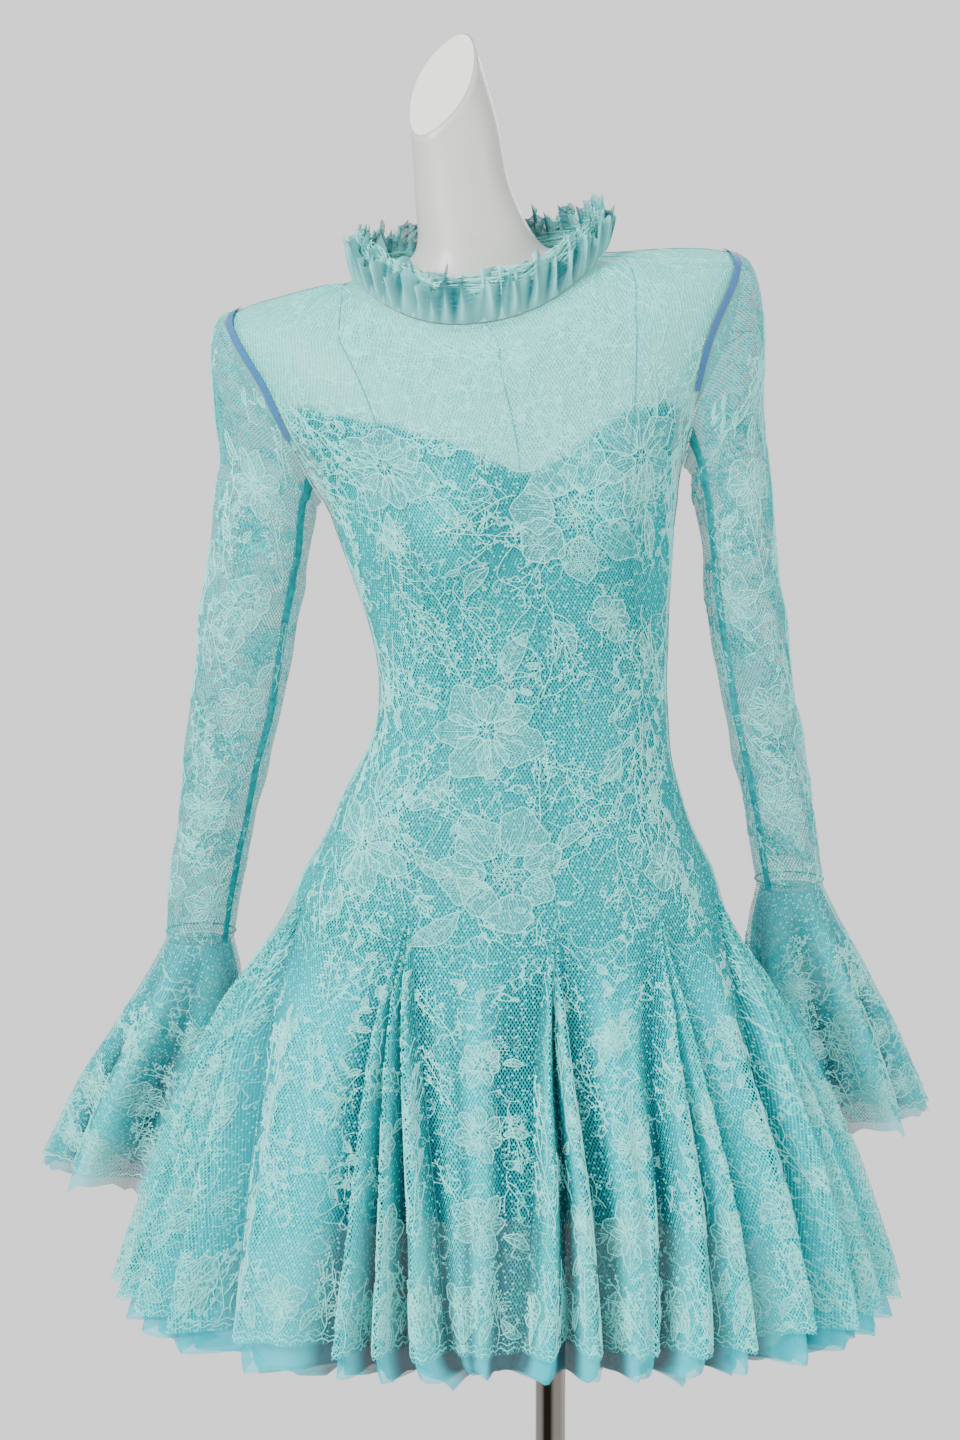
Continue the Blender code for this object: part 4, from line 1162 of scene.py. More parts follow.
def chrome_finish():
    """Polished tube: long dark and bright streaks round it in its colour are a painted reflection,
    and faint handling marks lie in its roughness.
    """
    finish = Finish("chrome_tube", (0.70, 0.70, 0.71), 0.12, 1.0)
    x, y, _ = finish.axes(finish.place())
    around = x.math("ARCTAN2", y)
    # painted reflection: the colour swings from near black to bright with the angle round the pole
    painted_reflection = (around * 3.0 + 0.9).math("SINE") * 0.5 + (around * 7.0).math("SINE") * 0.22 + 0.45
    smear = finish.noise(24.0, 3.0)
    finish.feed(Roughness=smear * 0.16 + 0.06)
    painted_reflection = painted_reflection.top(0.0).low(1.0)
    finish.feed(Base_Color=finish.blend(painted_reflection, (0.02, 0.017, 0.014), (0.46, 0.43, 0.38)))
    return finish.stuff


def steel_finish():
    """Brushed round base: fine rings round its middle."""
    finish = Finish("brushed_steel", (0.60, 0.60, 0.61), 0.28, 1.0)
    x, y, _ = finish.axes(finish.place())
    reach = (x * x + y * y).math("SQRT")
    rings = (reach * 5200).math("SINE")
    smear = finish.noise(30.0, 3.0)
    finish.feed(Roughness=smear * 0.05 + 0.24)
    finish.feed(Base_Color=finish.blend(smear, (0.56, 0.56, 0.57), (0.62, 0.62, 0.63)))
    finish.feed(Normal=finish.bump(rings, 0.00004, 0.35))
    return finish.stuff


# ------------------------------------------------------------
# Corded lace: flowers, leaves and sprigs laid out flat and carried on to the cloth
# ------------------------------------------------------------

CORD_STEP = 0.0042
CORD_LIFT = 0.00025
FILL_LIFT = 0.00022
BOLDER = 1.35
TAU = 2 * math.pi


def stroke(points, step=CORD_STEP):
    """Points along a smooth line through a few points."""
    points = np.asarray(points, float)
    length = np.linalg.norm(np.diff(points, axis=0), axis=1).sum()
    if len(points) == 2:
        shares = np.linspace(0, 1, int(length / step) + 2)[:, None]
        return points[0] + (points[1] - points[0]) * shares
    count = max(3, int(length / step) + 1)
    return smooth(points, np.linspace(0, len(points) - 1, count))


def heading(angle):
    return np.array([math.cos(angle), math.sin(angle)])


class Lacework:
    """Lays cords, knots and filled petals on one cloth."""

    def __init__(self, surface, seed, cords, fills):
        self.surface, self.cords, self.fills = surface, cords, fills
        self.draw = np.random.default_rng(seed)
        self.origin, self.turn = np.zeros(2), 0.0
        self.lines, self.shares, self.knots = [], [], []
        self.radius = bpy.context.scene.lace_sizes.cord
        self.knot_radius = bpy.context.scene.lace_sizes.knot

    def at(self, x, y, turn=0.0):
        """Moves the pattern's origin to a flat point; turn is in degrees from upright."""
        self.origin, self.turn = np.array([x, y]), math.radians(turn)
        return self

    def flat(self, points):
        c, s = math.cos(self.turn), math.sin(self.turn)
        points = np.asarray(points, float)
        return points @ np.array([[c, s], [-s, c]]) + self.origin

    def line(self, points, share=1.0, step=CORD_STEP):
        self.lines.append(self.flat(stroke(points, step)))
        self.shares.append(share)

    def knot(self, point, share=1.0):
        self.knots.append((*self.flat(point), share))

    def couch(self):
        """Carries all the lines and knots on to the cloth."""
        counts = [len(points) for points in self.lines]
        whose = np.repeat(np.arange(len(counts)), counts)
        radius = np.repeat(self.shares, counts) * self.radius
        spots, normals, inside = self.surface.place(np.concatenate(self.lines))
        joined = (whose[1:] == whose[:-1]) & inside[1:] & inside[:-1]
        self.cords.cords(spots, normals, radius, joined, CORD_LIFT)
        knots = np.array(self.knots)
        spots, normals, inside = self.surface.place(knots[:, :2])
        radius = knots[:, 2] * self.knot_radius
        self.cords.beads(spots[inside], normals[inside], radius[inside])

    def fill(self, outline, middle, base, along):
        """A filled patch; its ribs run along a direction from its base."""
        spots, normals, inside = self.surface.place(self.flat(np.vstack([outline, [middle]])))
        if not inside.all():
            return
        side = np.array([-along[1], along[0]])
        local = np.vstack([outline, [middle]]) - base
        uv = np.stack([local @ side, local @ along], 1)
        spots = spots + normals * FILL_LIFT
        self.fills.patch(spots[:-1], spots[-1], uv)

    def fork(self, point, angle, reach):
        """Three short fingers with knotted ends."""
        for lean in (-0.75, 0.0, 0.75):
            if lean and self.draw.random() < 0.30:
                continue
            tip = point + heading(angle + lean) * reach * self.draw.uniform(0.8, 1.2)
            middle = point + heading(angle + lean * 0.5) * reach * 0.5
            self.line([point, middle, tip], 0.85, 0.002)
            self.knot(tip)

    def sprig(self, length, bend=0.5, twigs=7, spread=0.34):
        """A branching sprig up from the origin."""
        angle = math.pi / 2
        point = np.zeros(2)
        stem = [point]
        side = 1 if self.draw.random() < 0.5 else -1
        for step in range(twigs):
            angle += bend * (0.28 + 0.3 * math.sin(step * 1.3)) * (1 if step % 3 else -1)
            point = point + heading(angle) * length / twigs
            stem.append(point)
            reach = spread * length * (1 - 0.55 * step / twigs) * self.draw.uniform(0.7, 1.15)
            out = angle + side * self.draw.uniform(0.7, 1.05)
            elbow = point + heading(out) * reach * 0.5
            tip = elbow + heading(out - side * 0.5) * reach * 0.5
            self.line([point, elbow, tip], 0.9)
            self.fork(tip, out - side * 0.5, 0.0042)
            if self.draw.random() < 0.6:
                self.fork(elbow, out + side * 0.7, 0.0036)
            side = -side
        self.line(stem)
        self.fork(point, angle, 0.0045)

    def petal(self, base, angle, length, width, ribs=3, comb=False):
        """A pointed wavy petal: its outline, short hatching at its edge, ribs from its base."""
        along = heading(angle)
        across = np.array([-along[1], along[0]])
        s = np.linspace(0, 1, 11)
        phase = self.draw.uniform(0, TAU, 2)
        swell = np.sin(np.pi * s ** 0.85) ** 0.75
        left_edge = swell * (1 + 0.13 * np.sin(13 * s + phase[0]))
        right_edge = swell * (1 + 0.13 * np.sin(13 * s + phase[1]))
        bend = 0.12 * width * np.sin(np.pi * s) * math.sin(phase[0])
        spine = base + np.outer(s * length, along) + np.outer(bend, across)

        def rim(share):
            left = spine + np.outer(left_edge * width / 2 * share, across)
            right = spine - np.outer(right_edge * width / 2 * share, across)
            return left, right

        left, right = rim(1.0)
        outline = np.vstack([left, right[-2:0:-1]])
        self.line(np.vstack([left, right[-2::-1]]), 1.1)
        inner_left, inner_right = rim(0.76)
        for at in range(6, 10):
            for outer, inner in ((left, inner_left), (right, inner_right)):
                self.line([outer[at], inner[at] - along * length * 0.04], 0.45, 1.0)
        for rib in range(ribs):
            lean = (rib - (ribs - 1) / 2) / max(ribs, 1) * 0.62
            line = spine + np.outer(swell * width * lean, across)
            self.line(line[0:6 + (rib % 2) * 3], 0.7, 0.005)
            self.knot(line[5 + (rib % 2) * 3], 0.62)
        if comb:
            self.honeycomb(spine[6], width * 0.26)
        self.fill(outline, spine[5], base, along)

    def leaf(self, base, angle, length, width):
        along = heading(angle)
        across = np.array([-along[1], along[0]])
        s = np.linspace(0, 1, 7)
        swell = np.sin(np.pi * s) ** 0.9
        bend = 0.22 * width * np.sin(np.pi * s * 1.2)
        spine = base + np.outer(s * length, along) + np.outer(bend, across)
        left = spine + np.outer(swell * width / 2, across)
        right = spine - np.outer(swell * width / 2, across)
        self.line(np.vstack([left, right[-2::-1]]))
        self.line(spine, 0.8)
        for at in (2, 3, 4):
            self.line([spine[at - 1], left[at]], 0.55, 1.0)
            self.line([spine[at - 1], right[at]], 0.55, 1.0)
        self.fill(np.vstack([left, right[-2:0:-1]]), spine[3], base, across)

    def honeycomb(self, middle, radius, cell=0.0034):
        """An open six sided mesh with bright walls."""
        tall = cell * math.sqrt(3) / 2
        edge = cell / math.sqrt(3)
        reach = int(radius / tall) + 1
        for row in range(-reach, reach + 1):
            for column in range(-reach, reach + 1):
                centre = np.array([column * cell + (row % 2) * cell / 2, row * tall])
                away = math.hypot(*centre)
                if away > radius * (0.86 + 0.14 * math.sin(5 * math.atan2(*centre))):
                    continue
                for turn in (90, 210, 330):
                    corner = centre + heading(math.radians(turn)) * edge
                    hub = centre + heading(math.radians(turn - 60)) * edge
                    self.line([middle + corner, middle + hub], 0.62, 1.0)
                if (row + 2 * column) % 5 == 0:
                    self.knot(middle + centre, 0.9)

    def vine(self, length, waves=2.0):
        """A thin meandering stem with small leaves and knots."""
        t = np.linspace(0, 1, 9)
        swing = length * 0.11
        phase = self.draw.uniform(0, TAU)
        points = np.stack([np.sin(t * waves * TAU + phase) * swing, t * length], 1)
        points[:, 0] -= points[0, 0]
        self.line(points, 0.9)
        for at in range(1, 8):
            side = 1 if at % 2 else -1
            if self.draw.random() < 0.5:
                tip = points[at] + np.array([side * 0.007, 0.006])
                self.line([points[at], (points[at] + tip) / 2 + (0, 0.001), tip], 0.8)
                self.knot(tip)
            else:
                self.leaf(points[at], math.pi / 2 - side * 0.9, 0.012, 0.006)

    def rings(self, points, spacing=0.009, radius=0.0016):
        """Small open rings along a line."""
        for point in stroke(points, spacing):
            turns = np.linspace(0, TAU, 6)
            self.line(point + np.stack([np.cos(turns), np.sin(turns)], 1) * radius, 0.6, 0.002)

    def blossom(self, radius, petals=6, comb=False, leaves=0, ribs=3):
        """An open flower round the origin, with stamens and perhaps a honeycomb heart."""
        heart = radius * (0.30 if comb else 0.14)
        start = self.draw.uniform(0, TAU)
        for petal in range(petals):
            angle = start + TAU * petal / petals + self.draw.uniform(-0.12, 0.12)
            length = (radius - heart) * self.draw.uniform(0.72, 1.22)
            width = 1.9 * radius * math.sin(math.pi / petals) * self.draw.uniform(0.60, 0.95)
            self.petal(heading(angle) * heart, angle, length, width, ribs, comb and petal % 3 == 0)
        if comb:
            self.honeycomb(np.zeros(2), heart * 0.95)
        for stamen in range(9):
            angle = start + TAU * (stamen + 0.5) / 9
            reach = radius * self.draw.uniform(0.34, 0.58)
            bent = heading(angle + 0.25) * reach * 0.55
            self.line([np.zeros(2), bent, heading(angle) * reach], 0.8)
            self.knot(heading(angle) * reach, 1.0)
        for leaf in range(leaves):
            angle = start + TAU * (leaf + 0.5) / leaves + self.draw.uniform(-0.3, 0.3)
            self.leaf(heading(angle) * radius * 0.9, angle, radius * 0.95, radius * 0.36)

    def flourish(self, kind, size):
        """One named motif at the origin."""
        if kind == "flower":
            self.blossom(size, 7, leaves=2)
        elif kind == "comb_flower":
            self.blossom(size, 7, comb=True, leaves=1)
        elif kind == "bud":
            self.blossom(size, 5, ribs=2)
        elif kind == "sprig":
            self.sprig(size, self.draw.uniform(0.3, 0.8), 6 + int(size / 0.02))
        elif kind == "vine":
            self.vine(size)
        elif kind == "leaf":
            self.leaf(np.zeros(2), math.pi / 2, size, size * 0.38)
        elif kind == "comb":
            self.honeycomb(np.zeros(2), size)
        elif kind == "dots":
            for spot in self.draw.uniform(-size / 2, size / 2, (int(size * 420), 2)):
                self.knot(spot, 0.7)
        elif kind == "rings":
            self.rings([(-size / 2, 0), (0, size / 6), (size / 2, 0)])
        else:
            raise ValueError(kind)


# Seeds of the random draws, and the line that the back mirrors the front's motifs about
BODICE_SEEDS = {"front": 5, "back": 6}
GORE_SEED = 40
SLEEVE_SEEDS = {"left": 70, "right": 71}
CUFF_SEEDS = {"left": 80, "right": 81}
COLLAR_SEED = 90
BACK_MIRROR = -0.048

# Motifs on the front of the bodice: kind, place across, height, size, turn in degrees
Motif = namedtuple("Motif", "kind x z size turn")
FRONT_MOTIFS = [
    Motif("flower", -0.042, 1.205, 0.026, 0),
    Motif("sprig", -0.050, 1.170, 0.050, 150),
    Motif("sprig", -0.075, 1.205, 0.060, 80),
    Motif("sprig", -0.010, 1.200, 0.055, -70),
    Motif("sprig", -0.030, 1.180, 0.060, -165),
    Motif("dots", -0.090, 1.180, 0.070, 10),
    Motif("bud", -0.142, 1.248, 0.022, 20),
    Motif("sprig", -0.160, 1.232, 0.050, 70),
    Motif("sprig", -0.118, 1.250, 0.040, -60),
    Motif("dots", -0.178, 1.203, 0.060, 60),
    Motif("rings", -0.120, 1.205, 0.060, -20),
    Motif("sprig", -0.205, 1.215, 0.060, 160),
    Motif("flower", 0.074, 1.250, 0.024, 30),
    Motif("sprig", 0.050, 1.235, 0.060, 110),
    Motif("sprig", 0.100, 1.225, 0.050, -150),
    Motif("dots", 0.040, 1.205, 0.060, -30),
    Motif("sprig", 0.105, 1.180, 0.065, -170),
    Motif("comb_flower", 0.016, 1.085, 0.040, 0),
    Motif("comb", 0.022, 1.050, 0.018, 0),
    Motif("flower", 0.066, 1.125, 0.030, 40),
    Motif("sprig", 0.010, 1.125, 0.055, 30),
    Motif("sprig", 0.050, 1.090, 0.060, -100),
    Motif("sprig", 0.075, 1.150, 0.045, -30),
    Motif("leaf", -0.015, 1.120, 0.036, 50),
    Motif("sprig", -0.030, 1.100, 0.060, 100),
    Motif("flower", -0.132, 1.120, 0.030, 10),
    Motif("comb", -0.122, 1.063, 0.016, 0),
    Motif("sprig", -0.165, 1.125, 0.060, 130),
    Motif("sprig", -0.105, 1.135, 0.055, -60),
    Motif("sprig", -0.135, 1.090, 0.070, 170),
    Motif("sprig", -0.160, 1.090, 0.050, 60),
    Motif("leaf", -0.100, 1.095, 0.034, -140),
    Motif("sprig", -0.090, 1.075, 0.060, -120),
    Motif("sprig", -0.078, 1.030, 0.070, 170),
    Motif("sprig", -0.088, 1.010, 0.060, 20),
    Motif("leaf", -0.070, 1.020, 0.032, -40),
    Motif("sprig", -0.005, 1.030, 0.075, 170),
    Motif("sprig", 0.038, 1.020, 0.070, -170),
    Motif("bud", 0.045, 1.000, 0.018, 0),
    Motif("leaf", 0.000, 1.000, 0.030, -150),
    Motif("sprig", 0.068, 1.010, 0.080, 175),
    Motif("sprig", 0.070, 0.950, 0.080, 180),
    Motif("leaf", 0.078, 0.960, 0.030, 30),
    Motif("sprig", -0.125, 0.990, 0.060, 160),
    Motif("sprig", -0.110, 0.960, 0.050, -20),
    Motif("flower", -0.052, 0.912, 0.034, 0),
    Motif("comb", -0.048, 0.880, 0.010, 0),
    Motif("sprig", -0.085, 0.930, 0.060, 60),
    Motif("sprig", -0.070, 0.945, 0.065, 15),
    Motif("sprig", -0.020, 0.930, 0.060, -50),
    Motif("sprig", 0.000, 0.900, 0.050, -150),
    Motif("sprig", -0.100, 0.890, 0.060, 130),
    Motif("dots", -0.090, 0.860, 0.060, 20),
    Motif("sprig", 0.065, 0.885, 0.070, 175),
    Motif("leaf", 0.052, 0.900, 0.032, 150),
    Motif("flower", -0.150, 0.825, 0.030, 0),
    Motif("sprig", -0.165, 0.850, 0.055, 30),
    Motif("sprig", -0.120, 0.850, 0.055, -40),
    Motif("sprig", -0.130, 0.810, 0.050, -160),
    Motif("sprig", -0.180, 0.800, 0.050, 170),
    Motif("comb_flower", -0.036, 0.800, 0.038, 0),
    Motif("sprig", -0.055, 0.838, 0.055, 40),
    Motif("sprig", -0.015, 0.838, 0.055, -20),
    Motif("leaf", 0.002, 0.820, 0.034, -50),
    Motif("leaf", -0.078, 0.800, 0.034, 70),
    Motif("sprig", 0.050, 0.830, 0.070, 175),
    Motif("sprig", 0.080, 0.820, 0.060, -20),
    Motif("bud", 0.088, 0.800, 0.022, 0),
    Motif("dots", 0.020, 0.860, 0.070, -60),
    Motif("rings", -0.010, 0.960, 0.060, 80),
    Motif("rings", 0.030, 0.930, 0.050, 100),
    Motif("vine", -0.100, 1.150, 0.080, 20),
    Motif("vine", -0.165, 1.060, 0.090, 190),
    Motif("vine", -0.060, 1.110, 0.085, 165),
    Motif("vine", -0.030, 1.060, 0.100, 185),
    Motif("vine", 0.085, 1.100, 0.110, 175),
    Motif("vine", -0.130, 0.960, 0.090, 175),
    Motif("vine", -0.020, 0.980, 0.080, 150),
    Motif("vine", 0.040, 0.960, 0.090, 190),
    Motif("vine", -0.090, 0.850, 0.080, 200),
    Motif("vine", 0.030, 0.860, 0.080, 170),
    Motif("vine", -0.160, 0.880, 0.080, 200),
    Motif("vine", 0.085, 0.870, 0.090, 185),
    Motif("sprig", -0.100, 1.225, 0.050, -150),
    Motif("sprig", -0.015, 1.225, 0.050, -100),
    Motif("sprig", 0.020, 1.215, 0.055, 170),
    Motif("sprig", -0.215, 1.180, 0.050, 175),
    Motif("sprig", -0.185, 1.150, 0.050, 200),
    Motif("sprig", 0.095, 1.130, 0.060, 175),
    Motif("sprig", 0.000, 1.060, 0.050, 120),
    Motif("sprig", -0.060, 1.140, 0.045, 70),
    Motif("sprig", -0.120, 1.030, 0.055, 200),
    Motif("comb", -0.145, 1.150, 0.010, 0),
    Motif("comb", 0.058, 1.105, 0.012, 0),
    Motif("sprig", -0.150, 0.920, 0.050, 160),
    Motif("sprig", 0.010, 0.880, 0.050, 200),
    Motif("sprig", -0.060, 0.770, 0.060, 200),
    Motif("sprig", -0.010, 0.775, 0.050, 160),
    Motif("comb", 0.075, 0.780, 0.012, 0),
]


def front_rows(part):
    """Rows over the whole front or back of the bodice, a little below the hip to the neck."""
    share = np.linspace(0, 1, FRONT_COLUMNS)
    left, right = edge_angles(part, float(HIP))
    angle = left + (right - left) * share
    rows = [skirt_point(angle, np.full(angle.shape, drop), LACE / 2)
            for drop in np.linspace(0.8, 0.1, 8)]
    for at in np.arange(HIP, NECK - 0.2, 0.2):
        left, right = edge_angles(part, at)
        angle = left + (right - left) * share
        rows.append(body(angle, at, lace_lift(angle, np.full(angle.shape, at)) + LACE / 2))
    return np.array(rows)


def spaced(low, high, count):
    """The middles of equal parts of a width."""
    return [low + (high - low) * (spot + 0.5) / count for spot in range(count)]


def scalloped(edge, above=0.0):
    """A scalloped line along a hem."""
    scallop = SCALLOP_LOW + SCALLOP_TALL * np.abs(np.sin(edge / SCALLOP_WIDE * math.pi))
    return np.stack([edge, scallop + above], 1)


def trim_bodice(part, cords, fills):
    """The corded flowers of the bodice; the back has the front's set, mirrored."""
    surface = Cloth(front_rows(part))
    work = Lacework(surface, BODICE_SEEDS[part], cords, fills)
    front = part == "front"
    for motif in FRONT_MOTIFS:
        x = motif.x if front else 2 * BACK_MIRROR - motif.x
        place = surface.flat_near(x, motif.z, front)
        work.at(*place, motif.turn if front else -motif.turn)
        work.flourish(motif.kind, motif.size * (BOLDER if "flower" in motif.kind else 1.0))
    draw = work.draw
    for level in np.arange(0.07, 0.50, 0.062):
        left, right = surface.width(level)
        for x, kind in ((left + 0.022, "sprig"), (right - 0.022, "vine"), (left + 0.05, "vine"),
                        (right - 0.05, "sprig")):
            work.at(x + draw.uniform(-0.008, 0.008), level, draw.uniform(150, 210))
            work.flourish(kind, draw.uniform(0.05, 0.075))
    work.couch()


def trim_gore(gore, cords, fills):
    """Corded lace on one gore of the skirt: a rich hem, flowers above it, sprigs to the top."""
    surface = cloths["cloth_" + gore.name]
    work = Lacework(surface, GORE_SEED + GORES.index(gore), cords, fills)
    draw = work.draw
    godet = gore.name.startswith("godet")
    left, right = surface.width(0.0)
    wide = right - left
    spots = max(2, int(round(wide / 0.036)))
    for spot, x in enumerate(spaced(left, right, spots)):
        y = 0.030 + draw.uniform(-0.006, 0.010)
        if spot % 2 == 0:
            work.at(x, y, draw.uniform(0, 60)).flourish("bud", 0.018 + draw.uniform(0, 0.004))
            work.at(x, y - 0.006, 180).flourish("leaf", 0.020)
        else:
            work.at(x, 0.008, draw.uniform(-25, 25)).flourish("sprig", 0.055)
            work.at(x, y + 0.004).flourish("comb", 0.008)
        work.at(x + wide / spots / 2, 0.012, draw.uniform(-60, 60)).flourish("leaf", 0.024)
    edge = np.arange(left + 0.001, right - 0.001, EDGE_STEP)
    work.at(0, 0).line(scalloped(edge), 1.1, EDGE_STEP)
    work.line(scalloped(edge, HEM_LINES_APART), 0.8, EDGE_STEP)
    for level, size in ((0.092, 0.026), (0.165, 0.022), (0.232, 0.018)):
        if level > surface.y[-1] - 0.03:
            continue
        low, high = surface.width(level)
        count = max(1, int(round((high - low) / 0.075)))
        for spot, x in enumerate(spaced(low, high, count)):
            x += draw.uniform(-0.008, 0.008)
            y = level + draw.uniform(-0.012, 0.012)
            kind = ("flower", "vine", "comb_flower", "sprig")[(spot + GORES.index(gore)) % 4]
            if godet and level > 0.2:
                kind = "sprig"
            work.at(x, y, draw.uniform(-30, 30))
            work.flourish(kind, size * (2.8 if kind in ("sprig", "vine") else 1.0))
            work.at(x + 0.022, y - 0.030, draw.uniform(90, 200)).flourish("sprig", 0.045)
            work.at(x - 0.022, y + 0.018, draw.uniform(-20, 60)).flourish("sprig", 0.045)
            if draw.random() < 0.6:
                work.at(x, y + 0.03, draw.uniform(-40, 40)).flourish("vine", 0.05)
            if draw.random() < 0.4:
                work.at(x + 0.01, y + 0.012).flourish("comb", 0.011)
    work.couch()


def trim_sleeve(word, cords, fills):
    """Flowers, sprigs and vines in three columns down a sleeve."""
    surface = cloths["sheer_sleeve_" + word]
    work = Lacework(surface, SLEEVE_SEEDS[word], cords, fills)
    draw = work.draw
    length = surface.y[-1]
    for column, shift in ((0.25, 0.0), (0.75, 0.045), (0.0, 0.02)):
        for level in np.arange(0.035 + shift, length - 0.03, 0.092):
            low, high = surface.width(level)
            x = low + (high - low) * (column + 0.05 * math.sin(level * 40))
            kind = ("flower" if draw.random() < 0.7 else "comb_flower") if column else "bud"
            work.at(x, level, draw.uniform(0, 60)).flourish(kind, 0.024)
            work.at(x + 0.026, level + 0.012, draw.uniform(-40, 10)).flourish("sprig", 0.056)
            work.at(x - 0.024, level - 0.016, draw.uniform(150, 200)).flourish("sprig", 0.050)
            work.at(x - 0.010, level + 0.038, draw.uniform(-40, 40)).flourish("vine", 0.045)
    work.couch()


def trim_cuff(word, cords, fills):
    """A scalloped edge and three rounds of flowers on a bell cuff."""
    surface = cloths["bell_cuff_" + word]
    work = Lacework(surface, CUFF_SEEDS[word], cords, fills)
    draw = work.draw
    left, right = surface.width(0.0)
    edge = np.arange(left, right, EDGE_STEP)
    work.at(0, 0).line(scalloped(edge), 1.1, EDGE_STEP)
    rounds = ((0.032, 0.050, 0.020), (0.095, 0.062, 0.022), (0.160, 0.070, 0.018))
    for level, pitch, size in rounds:
        low, high = surface.width(level)
        count = max(2, int(round((high - low) / pitch)))
        for spot, x in enumerate(spaced(low, high, count)):
            x += draw.uniform(-0.005, 0.005)
            kind = ("flower", "comb_flower", "bud")[spot % 3]
            work.at(x, level, draw.uniform(0, 60)).flourish(kind, size)
            work.at(x + 0.022, level - 0.02, draw.uniform(-40, 40)).flourish("sprig", 0.05)
            work.at(x - 0.02, level + 0.01, draw.uniform(-60, 60)).flourish("sprig", 0.04)
    work.couch()


def trim_collar(cords):
    """Small loops and threads along the frill's top edge."""
    surface = cloths["collar_frill"]
    work = Lacework(surface, COLLAR_SEED, cords, cords)
    left, right = surface.width(surface.y[-1])
    edge = np.arange(left, right, 0.0024)
    top = surface.y[-1] - 0.0010 - 0.0014 * np.abs(np.sin(edge / 0.0045 * math.pi))
    work.at(0, 0).line(np.stack([edge, top], 1), 0.8, 0.0024)
    for place in np.arange(left, right, 0.020):
        work.at(place, surface.y[-1] * 0.25, work.draw.uniform(-30, 30))
        work.sprig(0.020, 0.4, 3)
    work.couch()


def seam_cords(cords):
    """Raised seams between the lace panels, and down the inner sleeves."""
    for gore in GORES:
        if not gore.name.startswith("godet"):
            surface = cloths["cloth_" + gore.name]
            points, normals = surface.points[::2, 0], surface.normals[::2, 0]
            cords.cord(points, normals, SEAM_CORD, SEAM_LIFT)
    for word in ("left", "right"):
        surface = cloths["sheer_sleeve_" + word]
        side = -1 if word == "left" else 1
        facing = surface.normals[len(surface.y) // 2] @ np.array([-0.80 * side, -0.60, 0.0])
        inner = int(np.argmax(facing))
        edges = [surface.points[:, inner + k] + surface.normals[:, inner + k] * CORD_LIFT
                 for k in (-1, 0, 1)]
        cords.strip(edges[0], edges[1])
        cords.strip(edges[1], edges[2])
        for k in (-1, 1):
            points, normals = surface.points[:, inner + k], surface.normals[:, inner + k]
            cords.cord(points, normals, SLEEVE_SEAM_CORD, CORD_LIFT)
        cords.cord(surface.points[1], surface.normals[1], WRIST_CORD, SEAM_LIFT)


# ------------------------------------------------------------
# Settings and operators
# ------------------------------------------------------------


def length_setting(name, note, default):
    return FloatProperty(
        name=name, description=note, default=default, min=0.0, unit="LENGTH", subtype="DISTANCE"
    )


def colour_setting(name, note, default):
    return FloatVectorProperty(
        name=name, description=note, default=default, size=3, min=0.0, max=1.0, subtype="COLOR"
    )


class LaceSizes(bpy.types.PropertyGroup):
    pitch: length_setting("Net pitch", "Distance between the threads of the lace's net", 0.0028)
    thread: length_setting("Net thread", "Width of a thread of the lace's net", 0.00062)
    cord: length_setting("Cord", "Radius of the cords round the flowers", 0.00040)
    knot: length_setting("Knot", "Radius of the knots at the ends of the sprigs", 0.00095)


class DressColours(bpy.types.PropertyGroup):
    # Each darker colour below is painted shade in the folds of the net sheets that use it, and
    # their random darker tone too; on the lining, the seam cords and the cords it is random tone
    # only
    lace: colour_setting("Lace", "Net ground of the lace", tint(0, 230, 230))
    lace_shade_and_tone: colour_setting("Lace shade", "Net ground in its darker places", tint(0, 118, 128))
    yoke: colour_setting("Yoke", "Net ground over the bare form", tint(96, 246, 238))
    sleeve: colour_setting("Sleeve", "Net ground of the sheer sleeves", tint(60, 226, 220))
    cord: colour_setting("Cord", "Cords, knots and filled petals", tint(164, 255, 250))
    cord_deep: colour_setting("Cord shade", "Cords in their darker places", tint(116, 240, 236))
    lining: colour_setting("Lining", "Strapless lining", tint(0, 182, 186))
    lining_shade_and_tone: colour_setting("Lining shade", "Lining in its darker places", tint(0, 118, 128))
    net: colour_setting("Net", "Net layers under the skirt", tint(0, 220, 236))
    net_shade_and_tone: colour_setting("Net shade", "Net in its darker places", tint(0, 100, 116))
    tape: colour_setting("Tape", "Armhole tape", tint(0, 98, 152))


class StandColours(bpy.types.PropertyGroup):
    # The form's white paint is set to a darker grey-white, which paints in the shade on its neck;
    # the neck cap is a brighter white, painted light on its upturned face
    form: colour_setting("Form", "Painted body of the form", tint(200, 202, 196))
    cap: colour_setting("Neck cap", "Flat cap on the neck", tint(246, 245, 240))
    floor: colour_setting("Floor", "Floor under the stand", tint(214, 211, 207))


def settings():
    scene = bpy.context.scene
    return scene.lace_sizes, scene.dress_colours, scene.stand_colours


def lace_stuff(name="lace_ground", thread_share=1.0, cover=0.0):
    """The lace's net ground, made once for each name."""
    found = bpy.data.materials.get(name)
    sizes, colours, _ = settings()
    return found or net_finish(
        name, colours.lace, colours.lace_shade_and_tone, sizes.pitch, sizes.thread * thread_share, cover,
        colours.yoke, colours.cord
    )


# Each panel's cut: width and length of the piece of cloth, and its flat area, in metres
Cut = namedtuple("Cut", "width length area")

cloths = {}


def lay(name, rows, stuff, nodes, lift=0.0, middle=0.5):
    """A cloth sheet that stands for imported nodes, if any, kept by name for the cords on it."""
    surface = Cloth(rows, middle, lift)
    piece = sheet_piece(name, surface, stuff)
    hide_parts(*nodes)
    cloths[name] = surface
    return piece


